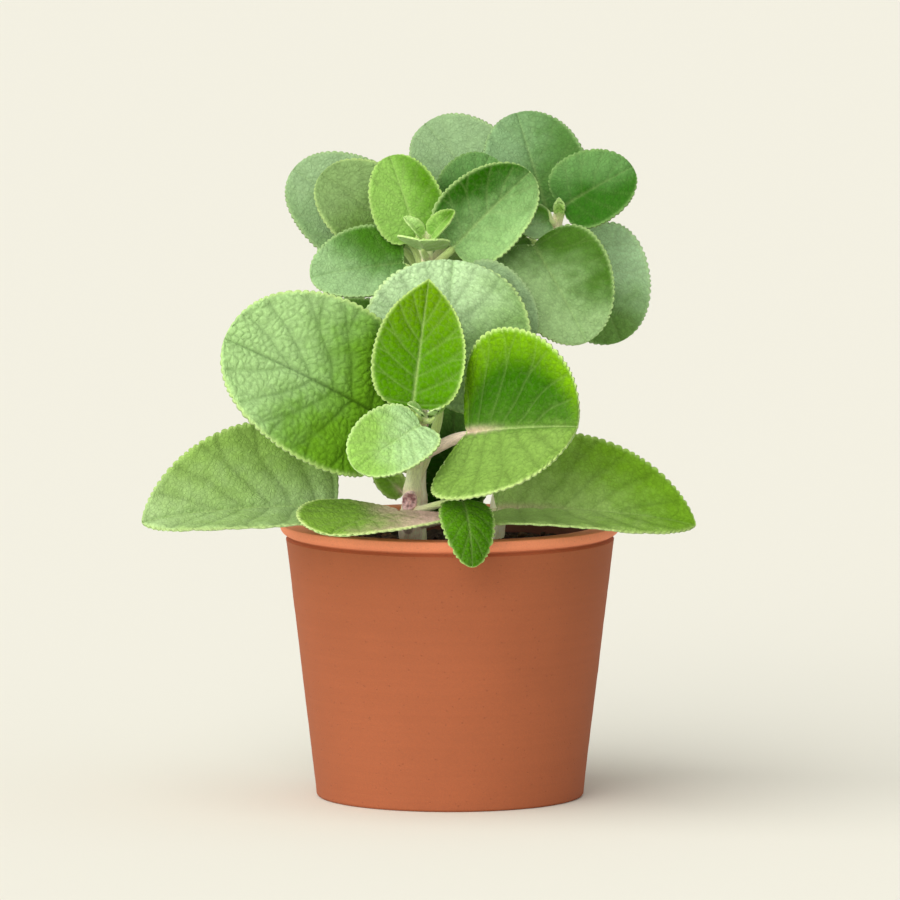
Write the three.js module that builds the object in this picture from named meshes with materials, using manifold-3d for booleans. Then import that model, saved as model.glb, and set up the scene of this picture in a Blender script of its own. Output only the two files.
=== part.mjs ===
// Potted indian borage (Cuban oregano): a clay pot of soil with four leafy stems.
// Millimetres, +Z up. The origin is the middle of the pot's flat base and the front looks towards -Y.
import * as THREE from 'three';
import { mergeVertices } from 'three/addons/utils/BufferGeometryUtils.js';
import Module from 'manifold-3d';

const wasm = await Module();
wasm.setup();

// Pot
const POT_HEIGHT = 118;
const RIM_RADIUS = 73.1;
const RIM_HEIGHT = 5;
const RIM_ROUND = 3.9;
const RIM_EDGE_ROUND = 0.5;
const MOUTH_RADIUS = 63.2;
const MOUTH_ROUND = 1.4;
const SHOULDER_RADIUS = 70.6;
const GROOVE_HEIGHT = 0.6;
const GROOVE_DEPTH = 1.2;
const BASE_RADIUS = 57.6;
const BASE_ROUND = 1.5;
const WALL = 7;
const FLOOR = 8;
const DRAIN_RADIUS = 5;
const DRAIN_CIRCLE_RADIUS = 28;
const DRAIN_COUNT = 4;
const DRAIN_SIDES = 16;
const POT_SIDES = 48;

// Soil
const SOIL_LEVEL = 107;
const SOIL_LUMP = 1.1;
const SOIL_RINGS = 6;
const GAP = 0.3;

// Leaves and stems
const BLADE_THICKNESS = 1.5;
const MARGIN_THICKNESS = 0.9;
const MIDRIB_RIDGE = 0.9;
const TOOTH_DEPTH = 0.05;
const INNER_ROW = 0.58;
const STEM_FOOT = 84;
const STEM_SIDES = 8;
const STEM_STEPS = 10;
const STALK_SIDES = 5;
const STALK_STEPS = 4;
const STALK_RADIUS = 1.1;
const STALK_RADIUS_PER_WIDTH = 0.013;
const STALK_REACH = 4;
const STALK_TAPER = [1.25, 0.9];
const STALK_LEAVING = 0.3;
const STALK_ARRIVING = 0.45;

// Clay, soil and the two greens
const clay = new THREE.MeshStandardMaterial({ color: 0xbe6c48, roughness: 0.85, metalness: 0 });
const earth = new THREE.MeshStandardMaterial({ color: 0x3a2a22, roughness: 1, metalness: 0 });
const freshGreen = new THREE.MeshStandardMaterial({ color: 0x6fa53a, roughness: 0.7, metalness: 0 });
const paleGreen = new THREE.MeshStandardMaterial({ color: 0x86b07a, roughness: 0.75, metalness: 0 });

// Forms that a blade takes: how far it bends down, how steeply its halves rise from the midrib (fold)
// and curl up towards the margin (cup), how far the base lobes reach back, how much wider it is
// towards the base (egg), how pointed it is, and its teeth on each side. Angles are in degrees.
const FORMS = {
  young: { bend: 14, fold: 6, cup: 15, lobe: 0.2, egg: 0.1, sharp: 0, teeth: 8 },
  broad: { bend: 22, fold: 4, cup: 12, lobe: 0.25, egg: 0.1, sharp: 0, teeth: 10 },
  round: { bend: 20, fold: 4, cup: 12, lobe: 0.25, egg: -0.04, sharp: 0, teeth: 10 },
  heart: { bend: 14, fold: 9, cup: 24, lobe: 0.27, egg: 0.04, sharp: 0, teeth: 10 },
  pointed: { bend: 16, fold: 8, cup: 14, lobe: 0.15, egg: 0.22, sharp: 1, teeth: 10 },
  spreading: { bend: 18, fold: 20, cup: 22, lobe: 0.2, egg: 0.22, sharp: 0.45, teeth: 10 },
  level: { bend: 12, fold: 2, cup: 3, lobe: 0.22, egg: 0.1, sharp: 0, teeth: 10 },
  drooping: { bend: 80, fold: 1, cup: -14, lobe: 0.15, egg: 0.1, sharp: 0, teeth: 6 },
  small: { bend: 14, fold: 6, cup: 15, lobe: 0.2, egg: 0.1, sharp: 0, teeth: 6 },
  bud: { bend: 20, fold: 18, cup: 20, lobe: 0.1, egg: 0.15, sharp: 0.3, teeth: 4 },
};

// Each leaf: form, height on the stem where its stalk starts, base and tip of the blade,
// the way its upper side looks, and its width.
const SHOOTS = [
  {
    name: 'front_shoot',
    material: freshGreen,
    radii: [5, 2.4],
    route: [[-16, -22, STEM_FOOT], [-17, -26, 118], [-15.5, -33, 142], [-14, -42, 160], [-12.5, -48, 170]],
    leaves: [
      ['round', 150, [-27, -43, 167], [-96, -64, 204], [-0.1, -0.85, 0.5], 77],
      ['heart', 150, [7, -50, 162.5], [54, -88, 169], [-0.42, -0.74, 0.52], 88],
      ['pointed', 164, [-16, -51, 174], [-9, -31, 226.5], [0.05, -0.95, 0.25], 41],
      ['round', 160, [-12.5, -58, 166.5], [-40, -78.5, 149.5], [-0.05, -0.8, 0.6], 35],
      ['round', 135, [-4, -30, 172], [1.5, -9, 232], [0, -0.9, 0.4], 75],
      ['spreading', 120, [-49, -32, 128], [-131.5, -54, 124.5], [0, -0.6, 0.8], 78],
      ['spreading', 120, [20, -34, 128], [105, -48, 122.5], [0, -0.6, 0.8], 68],
      ['level', 116, [-21, -44, 128], [-51, -97, 124], [0.02, -0.08, 1], 66],
      ['drooping', 126, [5, -67, 135], [9.5, -92, 109.5], [0.1, -0.7, 0.7], 24],
      ['bud', 167, [-12, -54, 170], [-18, -61, 176], [-0.2, -0.6, 0.7], 7],
      ['bud', 167, [-8, -54, 169], [-4, -62, 174], [0.2, -0.6, 0.7], 6],
      ['bud', 163, [-7.5, -43, 170], [-0.5, -38, 187], [0.3, -0.9, 0.1], 9],
    ],
  },
  {
    name: 'left_shoot',
    material: paleGreen,
    radii: [4.4, 1.8],
    route: [[-13, 14, STEM_FOOT], [-14, 14, 122], [-12, 14, 180], [-10, 14, 222], [-9.5, 12, 242]],
    leaves: [
      ['young', 230, [-14, 17, 239.5], [-26, 32, 273.5], [0, -0.95, 0.35], 33],
      ['young', 225, [1.5, 10.5, 236], [34.5, 22, 267.5], [0.05, -0.85, 0.4], 40],
      ['young', 220, [-20, 14, 229], [-60, 6, 223], [-0.1, -0.75, 0.6], 39],
      ['young', 212, [-18, 28, 238], [-55.5, 42, 265], [-0.2, -0.85, 0.45], 42],
      ['young', 206, [-21, 41, 233.5], [-68, 60, 265], [-0.3, -0.8, 0.45], 49],
      ['young', 200, [0, -1, 217.5], [35, -13, 196.5], [0.1, -0.9, 0.42], 45],
      ['young', 226, [4, 32, 246], [17, 48, 272], [0.1, -0.9, 0.35], 33],
      ['small', 230, [-11, 4, 235.5], [-13, -11, 241], [0, -0.5, 0.9], 24],
      ['young', 204, [-8, 34, 210], [-20, 62, 212], [0, -0.2, 1], 40],
      ['young', 184, [-26, 22, 192], [-66, 34, 199], [0, -0.6, 0.8], 42],
      ['young', 172, [2, 14, 177], [38, 10, 178], [0, -0.3, 0.95], 34],
      ['young', 146, [-24, 20, 150], [-62, 32, 154], [0, -0.3, 0.95], 34],
      ['bud', 126, [-20, 13, 129], [-33, 14, 141.5], [-0.3, -0.8, 0.3], 14],
      ['bud', 238, [-12, 9, 241], [-20, 6, 249.5], [0.2, -0.7, 0.6], 8],
      ['bud', 239, [-8, 5, 241.5], [2, -1, 253], [-0.3, -0.8, 0.4], 11],
    ],
  },
  {
    name: 'right_shoot',
    material: paleGreen,
    radii: [4.4, 1.8],
    route: [[18, 18, STEM_FOOT], [21, 21, 122], [32, 29, 185], [43, 36, 230], [47, 37, 248]],
    leaves: [
      ['young', 242, [48.5, 33, 251.5], [79, 40, 268], [0.1, -0.9, 0.45], 35.5],
      ['young', 240, [42, 50, 247.5], [29, 72, 288.5], [0, -0.9, 0.45], 47],
      ['young', 225, [21, 61, 248.5], [-11, 84, 283], [-0.1, -0.9, 0.45], 46],
      ['broad', 230, [36, 22, 236], [58.5, 3, 195.5], [0.1, -0.85, 0.5], 52],
      ['young', 226, [54, 52, 236], [74, 47, 191.5], [0, -0.9, 0.4], 50],
      ['young', 232, [33, 35.5, 238], [7, 36, 223], [-0.1, -0.6, 0.8], 32],
      ['young', 210, [36, 60, 216], [46, 98, 210], [0, 0, 1], 42],
      ['young', 146, [34, 20, 148], [64, 12, 139], [0, -0.3, 0.95], 34],
      ['small', 244, [43, 31, 245.5], [30, 28, 242.5], [0.1, -0.9, 0.4], 17],
      ['bud', 246, [47, 32, 249], [47, 26, 256], [0, -0.8, 0.4], 6],
    ],
  },
  {
    name: 'back_shoot',
    material: freshGreen,
    radii: [4.4, 2],
    route: [[5, 36, STEM_FOOT], [5, 41, 118], [2, 52, 150], [-2, 66, 176], [-4, 74, 190]],
    leaves: [
      ['broad', 166, [-16, 74, 170], [-78, 92, 176], [-0.1, 0.85, 0.6], 60],
      ['broad', 166, [8, 74, 168], [44, 92, 170], [0.1, 0.85, 0.6], 44],
      ['young', 176, [-4, 71, 203], [-6, 58, 243], [0, 0.95, 0.3], 44],
      ['young', 176, [4, 88, 172], [12, 116, 144], [0, 0.8, 0.6], 42],
      ['small', 184, [-11, 82, 190], [-34, 94, 198], [-0.1, 0.85, 0.5], 24],
      ['small', 184, [3, 82, 190], [24, 94, 194], [0.1, 0.85, 0.5], 22],
      ['broad', 130, [-34, 58, 140], [-90, 84, 136], [0, 0.3, 0.95], 56],
      ['broad', 130, [28, 58, 134], [84, 82, 130], [0, 0.3, 0.95], 52],
      ['bud', 188, [-6, 79, 195], [-10, 84, 203], [0, 0.7, 0.6], 8],
      ['bud', 188, [-1, 79, 195], [3, 84, 202], [0, 0.7, 0.6], 7],
      ['small', 108, [1, 36, 120], [2, 27, 171], [0, -0.95, 0.2], 32],
    ],
  },
];

// Closed geometry to a solid that can be joined and cut.
function toSolid(geometry) {
  const bare = geometry.clone();
  bare.deleteAttribute('normal');
  bare.deleteAttribute('uv');
  const merged = mergeVertices(bare);
  const index = merged.index.array;
  const triVerts = [];
  for (let i = 0; i < index.length; i += 3) {
    const [a, b, c] = index.slice(i, i + 3);
    if (a !== b && b !== c && c !== a) triVerts.push(a, b, c);
  }
  const vertProperties = Float32Array.from(merged.attributes.position.array);
  return new wasm.Manifold(new wasm.Mesh({ numProp: 3, vertProperties, triVerts: Uint32Array.from(triVerts) }));
}

function toMesh(solid, name, material) {
  const { vertProperties, triVerts } = solid.getMesh();
  const geometry = new THREE.BufferGeometry();
  geometry.setAttribute('position', new THREE.BufferAttribute(Float32Array.from(vertProperties), 3));
  geometry.setIndex(new THREE.BufferAttribute(Uint32Array.from(triVerts), 1));
  geometry.computeVertexNormals();
  const mesh = new THREE.Mesh(geometry, material);
  mesh.name = name;
  return mesh;
}

// Profile of radius and height, turned round the Z axis.
function turned(profile) {
  return new THREE.LatheGeometry(profile, POT_SIDES).rotateX(Math.PI / 2);
}

// Radius of the pot's inside wall at a height.
function insideRadius(height) {
  const foot = BASE_RADIUS + (SHOULDER_RADIUS - BASE_RADIUS) * FLOOR / (POT_HEIGHT - RIM_HEIGHT) - WALL;
  return foot + (MOUTH_RADIUS - foot) * (height - FLOOR) / (POT_HEIGHT - FLOOR);
}

function potProfile() {
  const rimFoot = POT_HEIGHT - RIM_HEIGHT;
  const neck = SHOULDER_RADIUS - GROOVE_DEPTH;
  const bead = RIM_RADIUS - RIM_ROUND;
  const path = new THREE.Path();
  path.moveTo(0, 0);
  path.lineTo(BASE_RADIUS - BASE_ROUND, 0);
  path.absarc(BASE_RADIUS - BASE_ROUND, BASE_ROUND, BASE_ROUND, -Math.PI / 2, 0);
  path.lineTo(SHOULDER_RADIUS, rimFoot - GROOVE_HEIGHT - GROOVE_DEPTH);
  path.lineTo(neck, rimFoot - GROOVE_HEIGHT);
  path.lineTo(neck, rimFoot);
  path.absarc(bead, rimFoot + RIM_ROUND, RIM_ROUND, -Math.PI / 2, 0);
  path.absarc(RIM_RADIUS - RIM_EDGE_ROUND, POT_HEIGHT - RIM_EDGE_ROUND, RIM_EDGE_ROUND, 0, Math.PI / 2);
  path.absarc(MOUTH_RADIUS + MOUTH_ROUND, POT_HEIGHT - MOUTH_ROUND, MOUTH_ROUND, Math.PI / 2, Math.PI);
  path.lineTo(insideRadius(FLOOR), FLOOR);
  path.lineTo(0, FLOOR);
  return path.getPoints(1);
}

function drainHole(turn) {
  const hole = new THREE.CylinderGeometry(DRAIN_RADIUS, DRAIN_RADIUS, 2 * FLOOR, DRAIN_SIDES);
  hole.rotateX(Math.PI / 2);
  hole.translate(DRAIN_CIRCLE_RADIUS * Math.cos(turn), DRAIN_CIRCLE_RADIUS * Math.sin(turn), FLOOR / 2);
  return toSolid(hole);
}

function makePot() {
  let pot = toSolid(turned(potProfile()));
  for (let k = 0; k < DRAIN_COUNT; k += 1) {
    pot = pot.subtract(drainHole(Math.PI / DRAIN_COUNT + 2 * Math.PI * k / DRAIN_COUNT));
  }
  return toMesh(pot, 'pot', clay);
}

// Height of the soil's lumps at a place.
function lump(x, y) {
  const slow = Math.sin(0.11 * x + 0.9) * Math.cos(0.13 * y - 0.4);
  const quick = Math.sin(0.37 * x - 0.21 * y) * Math.cos(0.29 * y + 0.17 * x);
  return SOIL_LUMP * (slow + quick);
}

function makeSoil(stemHoles) {
  const foot = FLOOR + GAP;
  const edge = insideRadius(SOIL_LEVEL) - GAP;
  const profile = [new THREE.Vector2(0, foot), new THREE.Vector2(insideRadius(foot) - GAP, foot)];
  for (let k = 0; k <= SOIL_RINGS; k += 1) {
    profile.push(new THREE.Vector2(edge * (1 - k / SOIL_RINGS), SOIL_LEVEL));
  }
  const bed = turned(profile);
  const position = bed.attributes.position;
  for (let i = 0; i < position.count; i += 1) {
    const [x, y, z] = [position.getX(i), position.getY(i), position.getZ(i)];
    const inner = Math.hypot(x, y) < edge - GAP;
    if (z > SOIL_LEVEL - GAP && inner) position.setZ(i, z + lump(x, y));
  }
  let soil = toSolid(bed);
  for (const hole of stemHoles) soil = soil.subtract(hole);
  return toMesh(soil, 'soil', earth);
}

// Round bar along a curve, with radius(t) from 0 at its start to 1 at its end.
function bar(curve, radius, sides, steps) {
  const circle = [];
  for (let k = 0; k < sides; k += 1) {
    const turn = 2 * Math.PI * k / sides;
    circle.push(new THREE.Vector2(Math.cos(turn), Math.sin(turn)));
  }
  const settings = { steps, extrudePath: curve, bevelEnabled: false };
  const geometry = new THREE.ExtrudeGeometry(new THREE.Shape(circle), settings);
  const centres = curve.getSpacedPoints(steps);
  const position = geometry.attributes.position;
  const point = new THREE.Vector3();
  for (let i = 0; i < position.count; i += 1) {
    point.fromBufferAttribute(position, i);
    let nearest = 0;
    centres.forEach((centre, k) => {
      if (centre.distanceTo(point) < centres[nearest].distanceTo(point)) nearest = k;
    });
    point.sub(centres[nearest]).multiplyScalar(radius(nearest / steps)).add(centres[nearest]);
    position.setXYZ(i, point.x, point.y, point.z);
  }
  return toSolid(geometry);
}

function mix(from, to) {
  return (t) => from + (to - from) * t;
}

function routeOf(shoot) {
  const points = shoot.route.map((place) => new THREE.Vector3(...place));
  return new THREE.CatmullRomCurve3(points, false, 'catmullrom', 0.5);
}

// Place on a stem at a height, found by halving.
function placeAtHeight(curve, height) {
  let [low, high] = [0, 1];
  for (let k = 0; k < 20; k += 1) {
    const middle = (low + high) / 2;
    if (curve.getPoint(middle).z < height) low = middle;
    else high = middle;
  }
  return curve.getPoint(low);
}

// The bent sheet in the middle of a blade: x runs along the midrib and y across it.
class Sheet {
  constructor([form, , base, tip, face, width]) {
    this.form = FORMS[form];
    this.base = new THREE.Vector3(...base);
    const chord = new THREE.Vector3(...tip).sub(this.base);
    const along = chord.clone().normalize();
    const looks = new THREE.Vector3(...face);
    const up = looks.addScaledVector(along, -looks.dot(along)).normalize();
    this.side = new THREE.Vector3().crossVectors(up, along);
    this.bend = THREE.MathUtils.degToRad(this.form.bend);
    this.fold = THREE.MathUtils.degToRad(this.form.fold);
    this.cup = THREE.MathUtils.degToRad(this.form.cup);
    const half = this.bend / 2;
    this.start = along.clone().multiplyScalar(Math.cos(half)).addScaledVector(up, Math.sin(half));
    this.up = up.clone().multiplyScalar(Math.cos(half)).addScaledVector(along, -Math.sin(half));
    this.length = chord.length() * half / Math.sin(half);
    this.half = width / 2;
  }

  // Upward direction at a place on the midrib.
  upAt(x) {
    const turn = this.bend * x / this.length;
    return this.start.clone().multiplyScalar(Math.sin(turn)).addScaledVector(this.up, Math.cos(turn));
  }

  point(x, y) {
    const turn = this.bend * x / this.length;
    const radius = this.length / this.bend;
    const curl = this.half / this.cup;
    const tilt = this.fold + this.cup * Math.abs(y) / this.half;
    const across = curl * (Math.sin(tilt) - Math.sin(this.fold));
    const rise = curl * (Math.cos(this.fold) - Math.cos(tilt));
    const place = this.base.clone().addScaledVector(this.start, radius * Math.sin(turn));
    place.addScaledVector(this.up, -radius * (1 - Math.cos(turn)));
    place.addScaledVector(this.side, Math.sign(y) * across);
    return place.addScaledVector(this.upAt(x), rise);
  }

  normal(x, y) {
    const step = 0.05;
    if (Math.abs(y) < 2 * step) return this.upAt(x);
    const onward = this.point(x + step, y).sub(this.point(x - step, y));
    const outward = this.point(x, y + step).sub(this.point(x, y - step));
    return onward.cross(outward).normalize();
  }

  // Margin at an angle from 0 at the base to pi at the tip, drawn in by reach towards the midrib.
  margin(angle, reach) {
    const { lobe, egg, sharp } = this.form;
    const foot = this.length * (1 - Math.cos(angle)) / 2;
    const back = lobe * this.length * Math.sin(angle) * (1 + Math.cos(angle)) / 2;
    const nearTip = (1 - Math.cos(angle)) / 2;
    const round = Math.sin(angle) ** (1 + sharp * nearTip ** 2);
    const out = this.half * round * (1 + egg * Math.cos(angle));
    return { x: foot - back * reach, y: out * reach };
  }
}

// Blade of even thickness. Its rows run from the midrib to the toothed margin, and each has
// twice the places of the row before, so both faces are split into the same triangles.
function makeBlade(sheet) {
  const { teeth } = sheet.form;
  const rows = [
    { reach: 0, count: teeth / 2 },
    { reach: INNER_ROW, count: teeth },
    { reach: 1, count: 2 * teeth },
  ];
  const corners = [];
  const known = new Map();
  function corner(level, hand, i) {
    const { reach, count } = rows[level];
    const atEnd = i === 0 || i === count;
    const key = atEnd ? `end ${i > 0}` : `${level} ${level === 0 ? 0 : hand} ${i}`;
    if (known.has(key)) return known.get(key);
    const isNotch = level === 2 && i % 2 === 0;
    const { x, y } = atEnd
      ? { x: i === 0 ? 0 : sheet.length, y: 0 }
      : sheet.margin(Math.PI * i / count, isNotch ? 1 - TOOTH_DEPTH : reach);
    const middle = sheet.point(x, hand * y);
    const up = sheet.normal(x, hand * y);
    const thickness = BLADE_THICKNESS + (MARGIN_THICKNESS - BLADE_THICKNESS) * (atEnd ? 1 : reach);
    const ridge = level === 0 && !atEnd ? MIDRIB_RIDGE : 0;
    corners.push(middle.clone().addScaledVector(up, thickness / 2));
    corners.push(middle.clone().addScaledVector(up, -thickness / 2 - ridge));
    known.set(key, corners.length / 2 - 1);
    return known.get(key);
  }

  const index = [];
  function face(a, b, c, hand) {
    if (a === b || b === c || c === a) return;
    const [second, third] = hand > 0 ? [c, b] : [b, c];
    index.push(2 * a, 2 * second, 2 * third);
    index.push(2 * a + 1, 2 * third + 1, 2 * second + 1);
  }
  for (const hand of [1, -1]) {
    for (const level of [0, 1]) {
      for (let i = 0; i < rows[level].count; i += 1) {
        const [near, far] = [corner(level, hand, i), corner(level, hand, i + 1)];
        const [first, tooth, last] = [0, 1, 2].map((k) => corner(level + 1, hand, 2 * i + k));
        face(near, first, tooth, hand);
        face(near, tooth, far, hand);
        face(far, tooth, last, hand);
      }
    }
    for (let i = 0; i < rows[2].count; i += 1) {
      const ends = [corner(2, hand, i), corner(2, hand, i + 1)];
      const [from, to] = hand > 0 ? ends : ends.reverse();
      index.push(2 * from, 2 * to, 2 * to + 1);
      index.push(2 * from, 2 * to + 1, 2 * from + 1);
    }
  }
  const geometry = new THREE.BufferGeometry().setFromPoints(corners);
  geometry.setIndex(index);
  return toSolid(geometry);
}

// Leaf stalk from the stem to a little way under the blade.
function makeStalk(sheet, from) {
  const radius = STALK_RADIUS + STALK_RADIUS_PER_WIDTH * 2 * sheet.half;
  const reach = Math.min(STALK_REACH, sheet.length / 4);
  const end = sheet.point(reach, 0).addScaledVector(sheet.upAt(reach), -radius / 2);
  const span = from.distanceTo(end);
  const leaving = from.clone().lerp(end, STALK_LEAVING);
  const arriving = end.clone().addScaledVector(sheet.start, -STALK_ARRIVING * span);
  const curve = new THREE.CubicBezierCurve3(from, leaving, arriving, end);
  const [thick, thin] = STALK_TAPER;
  return bar(curve, mix(thick * radius, thin * radius), STALK_SIDES, STALK_STEPS);
}

function makeShoot(shoot) {
  const route = routeOf(shoot);
  let solid = bar(route, mix(...shoot.radii), STEM_SIDES, STEM_STEPS);
  for (const leaf of shoot.leaves) {
    const sheet = new Sheet(leaf);
    solid = solid.add(makeStalk(sheet, placeAtHeight(route, leaf[1])));
    solid = solid.add(makeBlade(sheet));
  }
  return toMesh(solid, shoot.name, shoot.material);
}

// Plain hole that a stem stands in, wider and deeper than the stem by the gap.
function stemHole(shoot) {
  const { route, radii } = shoot;
  const deeper = [[route[0][0], route[0][1], STEM_FOOT - GAP], ...route.slice(1)];
  const curve = routeOf({ route: deeper });
  return bar(curve, mix(radii[0] + GAP, radii[1] + GAP), STEM_SIDES, STEM_STEPS);
}

const borage = new THREE.Group();
borage.name = 'potted_indian_borage';
borage.add(makePot());
borage.add(makeSoil(SHOOTS.map(stemHole)));
for (const shoot of SHOOTS) borage.add(makeShoot(shoot));

export default borage;
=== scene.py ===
# Looks of the potted indian borage: velvety toothed leaves on four leafy stems, soil and a clay pot.
# Lengths are millimetres until new_object() turns them into metres. +Z is up and the front looks to -Y.
import itertools
import math
from collections import namedtuple
from functools import reduce

import bpy
import numpy as np
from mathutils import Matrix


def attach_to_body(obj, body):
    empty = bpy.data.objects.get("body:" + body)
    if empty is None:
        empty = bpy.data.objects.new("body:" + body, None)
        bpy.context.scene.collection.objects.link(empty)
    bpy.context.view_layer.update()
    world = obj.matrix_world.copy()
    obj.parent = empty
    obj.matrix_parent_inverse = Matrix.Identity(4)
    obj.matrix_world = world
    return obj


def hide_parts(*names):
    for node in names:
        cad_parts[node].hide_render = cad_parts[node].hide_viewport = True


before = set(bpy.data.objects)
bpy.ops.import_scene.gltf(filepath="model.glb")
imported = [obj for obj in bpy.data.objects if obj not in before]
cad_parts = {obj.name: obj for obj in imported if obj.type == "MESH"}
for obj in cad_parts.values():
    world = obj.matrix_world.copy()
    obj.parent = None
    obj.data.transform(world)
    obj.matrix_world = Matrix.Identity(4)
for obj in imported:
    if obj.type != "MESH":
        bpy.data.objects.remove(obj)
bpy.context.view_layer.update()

MM = 0.001
TURN = 2 * math.pi
AXIS = 0.001  # Radius that stands for the middle of a turned form

# Pot, in the solid's sizes
POT_HEIGHT = 118
RIM_RADIUS = 73.1
RIM_HEIGHT = 5
RIM_FOOT = POT_HEIGHT - RIM_HEIGHT
RIM_ROUND = 3.9
RIM_EDGE_ROUND = 0.5
MOUTH_RADIUS = 63.2
MOUTH_ROUND = 1.4
SHOULDER_RADIUS = 70.6
GROOVE_HEIGHT = 0.6
GROOVE_DEPTH = 1.2
GROOVE_ROUND = 0.35
BASE_RADIUS = 57.6
BASE_ROUND = 1.5
WALL = 7
FLOOR = 8
DRAIN_RADIUS = 5
DRAIN_CIRCLE_RADIUS = 28
DRAIN_COUNT = 4
DRAIN_OVERSHOOT = 4
POT_SIDES = 160
SHARP_ANGLE = math.radians(35)

# Soil
SOIL_LEVEL = 107
SOIL_LUMP = 1.1
SOIL_SPACING = 0.95
SOIL_SIDES = 360
SOIL_GRAINS = ((6.5, 1.0, 31), (3.1, 0.75, 41), (1.7, 0.4, 51))  # Size, depth and seed
CRUMB_COUNT = 420
CRUMB_SIZES = (0.7, 1.9)
STEM_CLEARANCE = 8

# Stems and stalks, on the solids' lines
STEM_FOOT = 84
STEM_SIDES = 28
STALK_RADIUS = 1.1
STALK_RADIUS_PER_WIDTH = 0.013
STALK_REACH = 4
STALK_TAPER = (1.25, 0.9)
STALK_LEAVING = 0.3
STALK_ARRIVING = 0.45
STALK_SINK = 0.85
STALK_STEPS = 20
STALK_SIDES = 14

# Finer form of the leaves
BLADE_THICKNESS = 1.3
MARGIN_THICKNESS = 0.8
TOOTH_PITCH = 2.5
TOOTH_DEPTH = 0.7
ROW_SPACING = 0.88
VEIN_DEPTH = 1.1
PILLOW = 1.7
SMALL_PILLOW = 0.65
WAVE = 0.7
CELL_SIZE = 3.3
MARGIN_BAND = 1.35
SEEDS_PER_SHOOT = 20

# Hairs: how many vertices of a skin there are for each
HAIR_RADIUS = 0.055
STEM_HAIR_LENGTH = 0.9
MARGIN_SHARE, STEM_SHARE, STALK_SHARE = 1.1, 1.0, 2.5

# Camera: the picture is 387 mm wide at the object, seen from 6.3 degrees above the level
VIEW_WIDTH = 387
VIEW_HEIGHT = 149.4
VIEW_ELEVATION = math.radians(6.3)
VIEW_DISTANCE = 6000
SENSOR = 36

# Stage
FLOOR_HALF = 14000
FLOOR_COLOUR = (0.811, 0.799, 0.718, 1)
LIGHT_COLOUR = (1.0, 0.985, 0.95)
SKY_STRENGTH = 0.55
SUNS = {  # Where each shines from, its strength and how many degrees wide it is
    "key": ((-70, -60, 82), 2.4, 85),
    "fill": ((-35, -95, 20), 0.95, 50),
}

# Forms that a blade takes: how far it bends down, how steeply its halves rise from the midrib (fold)
# and curl up towards the margin (cup), in degrees, how far the base lobes reach back, how much wider
# it is towards the base (egg), how pointed it is (sharp), and how many side veins a half has.
PLAIN_FORM = dict(lobe=0.2, egg=0.1, sharp=0, veins=6)
FORMS = {
    "young": dict(bend=14, fold=6, cup=15, veins=5),
    "broad": dict(bend=22, fold=4, cup=12, lobe=0.25),
    "round": dict(bend=20, fold=4, cup=12, lobe=0.25, egg=-0.04),
    "heart": dict(bend=14, fold=9, cup=24, lobe=0.27, egg=0.04),
    "pointed": dict(bend=16, fold=8, cup=14, lobe=0.15, egg=0.22, sharp=1),
    "spreading": dict(bend=18, fold=20, cup=22, egg=0.22, sharp=0.45),
    "level": dict(bend=12, fold=2, cup=3, lobe=0.22),
    "drooping": dict(bend=80, fold=1, cup=-14, lobe=0.15, veins=5),
    "small": dict(bend=14, fold=6, cup=15, veins=4),
    "bud": dict(bend=20, fold=18, cup=20, lobe=0.1, egg=0.15, sharp=0.3, veins=3),
}


def look(deep, pale, way, share, **more):
    """Looks of a blade, from its two colours as the screen shows them. It gets lighter along way, which is
    (right, up) in the picture: the pale colour there is painted light and sheen where the light falls, the
    deep colour on the far side painted shade. share, from 0 to 1, is how far the pale part reaches."""
    plain = dict(
        veins=0.05,  # How pale the side veins are, or how dark, as painted shade in their grooves, if it is under 0
        midrib=0.15,  # The same for the midrib, whose dark line is painted shade in its crease
        blush=0,  # How pink the stalk and the base of the midrib are
        spread=1,  # How far the pink spreads to the sides
        quilt=0.4,  # How far the skin is puffed up between the veins
        cells=1,  # How clearly the small fields inside the large ones show
        teeth=1,  # How coarse the teeth are
        ragged=1,  # How much deeper they are cut
        edge=1,  # How clearly the margin stands out
        lit=None,  # How pale the margin is, if it doesn't follow from quilt
        net=0.45,  # How clear the finest net of veins is
        half=0,  # How far one half is painted in light, the left one with the tip up, or the right one under 0; the other half stays deep as painted shade
        ring=0,  # How yellow the deep part gets towards its margin
    )
    return dict(deep=deep, pale=pale, way=way, share=share) | plain | more


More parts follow.
